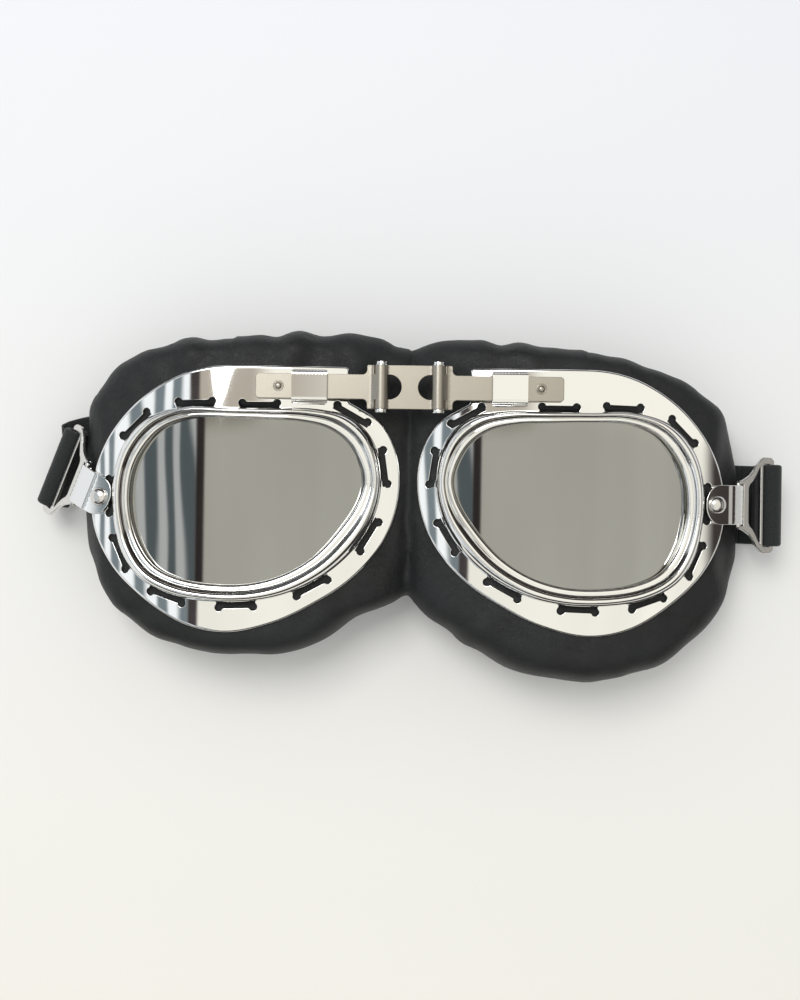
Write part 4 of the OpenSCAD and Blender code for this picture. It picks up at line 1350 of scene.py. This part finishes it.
def past(value, low, high):
    """Rises softly from 0 at low to 1 at high."""
    return mapped(room, value, low, high, kind="SMOOTHSTEP")


def both(a, b):
    return maths(room, "MULTIPLY", a, b)


way = add(room, "ShaderNodeSeparateXYZ", {"Vector": add(room, "ShaderNodeTexCoord").outputs["Generated"]})
way_x, way_y, way_z = (way.outputs[axis] for axis in "XYZ")
height = maths(room, "MAXIMUM", way_z, 0.05)
right = maths(room, "DIVIDE", way_x, height)
brow = maths(room, "DIVIDE", way_y, height)
overhead = add(room, "ShaderNodeCombineXYZ", {"X": right, "Y": brow}).outputs[0]
blotch = cloud(room, overhead, 2.2, 2.0)
ceiling = mixed(blotch, (0.82, 0.79, 0.71), (1.12, 1.10, 1.0))
at_brow = past(maths(room, "MULTIPLY_ADD", blotch, 0.05, brow), 0.08, 0.11)
shaded = mixed(past(right, -0.12, 0.02), (0.50, 0.45, 0.38), (1.05, 1.02, 0.92))
colour = mixed(at_brow, ceiling, shaded)
print("ceiling ready")

# %% [markdown]
# A window on the left has light curtains, which the chrome and the lenses show as stripes. A sine
# wave over a slightly bent direction makes the folds, and a thin dark line is the window's frame.

# %% Room: curtains and window frame
CURTAIN = (-0.42, -0.46, -2.0, -1.8)
FRAME_LINE = (-0.38, -0.40, -0.46, -0.44)
FOLDS = 34.0
bent_right = maths(room, "MULTIPLY_ADD", blotch, 0.5, right)
folds = maths(room, "SINE", both(bent_right, FOLDS))
curtain = mixed(past(folds, -0.6, 0.6), (0.20, 0.24, 0.26), (1.05, 1.08, 1.1))
in_curtain = both(past(right, *CURTAIN[:2]), past(right, *CURTAIN[2:]))
colour = mixed(in_curtain, colour, curtain)
in_frame = both(past(right, *FRAME_LINE[:2]), past(right, *FRAME_LINE[2:]))
colour = mixed(in_frame, colour, (0.06, 0.05, 0.05))
print("curtain folds", FOLDS)

# %% [markdown]
# Low down the walls are dark, which draws the rims' edges. On either side the room is lighter in
# a soft patch, bright on the window's side and grey on the other, for the tabs and loops.

# %% Room: dark walls and light patches
WALL_TOP = 0.66
CURTAIN_DROP = -0.2
wall_top = maths(room, "MULTIPLY_ADD", in_curtain, CURTAIN_DROP, WALL_TOP)
colour = mixed(past(maths(room, "SUBTRACT", way_z, wall_top), 0.02, -0.05), colour, (0.05, 0.042, 0.04))
beside = maths(room, "ABSOLUTE", way_y)
is_left = past(way_x, 0.0, -0.05)
patch_right = both(past(beside, 0.42, 0.32), past(way_z, 0.15, 0.22))
patch_left = past(beside, 0.6, 0.5)
patch = mixed(is_left, (0.50, 0.48, 0.45), (0.9, 0.92, 0.94))
patch_share = add(room, "ShaderNodeMix", {"Factor": is_left, "A": patch_right, "B": patch_left}).outputs[0]
colour = mixed(both(past(way_z, 0.47, 0.42), patch_share), colour, patch)
print("walls ready")

# %% [markdown]
# The drawn room is only seen by rays that leave a polished surface. For everything else the room
# is one plain pale colour, so the leather and the table are lit evenly and without noise. One
# wide lamp at the window adds the soft shadows.

# %% Room light and lamp
PLAIN_ROOM = (0.74, 0.75, 0.77)
mirrored = add(room, "ShaderNodeLightPath").outputs["Is Glossy Ray"]
room.links.new(mixed(mirrored, PLAIN_ROOM, colour), room.nodes["Background"].inputs["Color"])
lamp_data = bpy.data.lights.new("window", "AREA")
lamp_data.energy = 4.8
lamp_data.size = 0.5
lamp = bpy.data.objects.new("window", lamp_data)
lamp.location = (-0.25, 0.42, 0.95)
lamp.rotation_euler = (-lamp.location).to_track_quat("-Z", "Y").to_euler()
bpy.context.scene.collection.objects.link(lamp)
lamp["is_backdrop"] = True
print("lamp", lamp_data.energy, "W")

# %% [markdown]
# At the end the size of the dressed goggles is printed. A part that is used again has to keep
# its size.

# %% Size and finish
low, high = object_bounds()
print("dressed size", [round(v / MM, 1) for v in high - low], "mm")
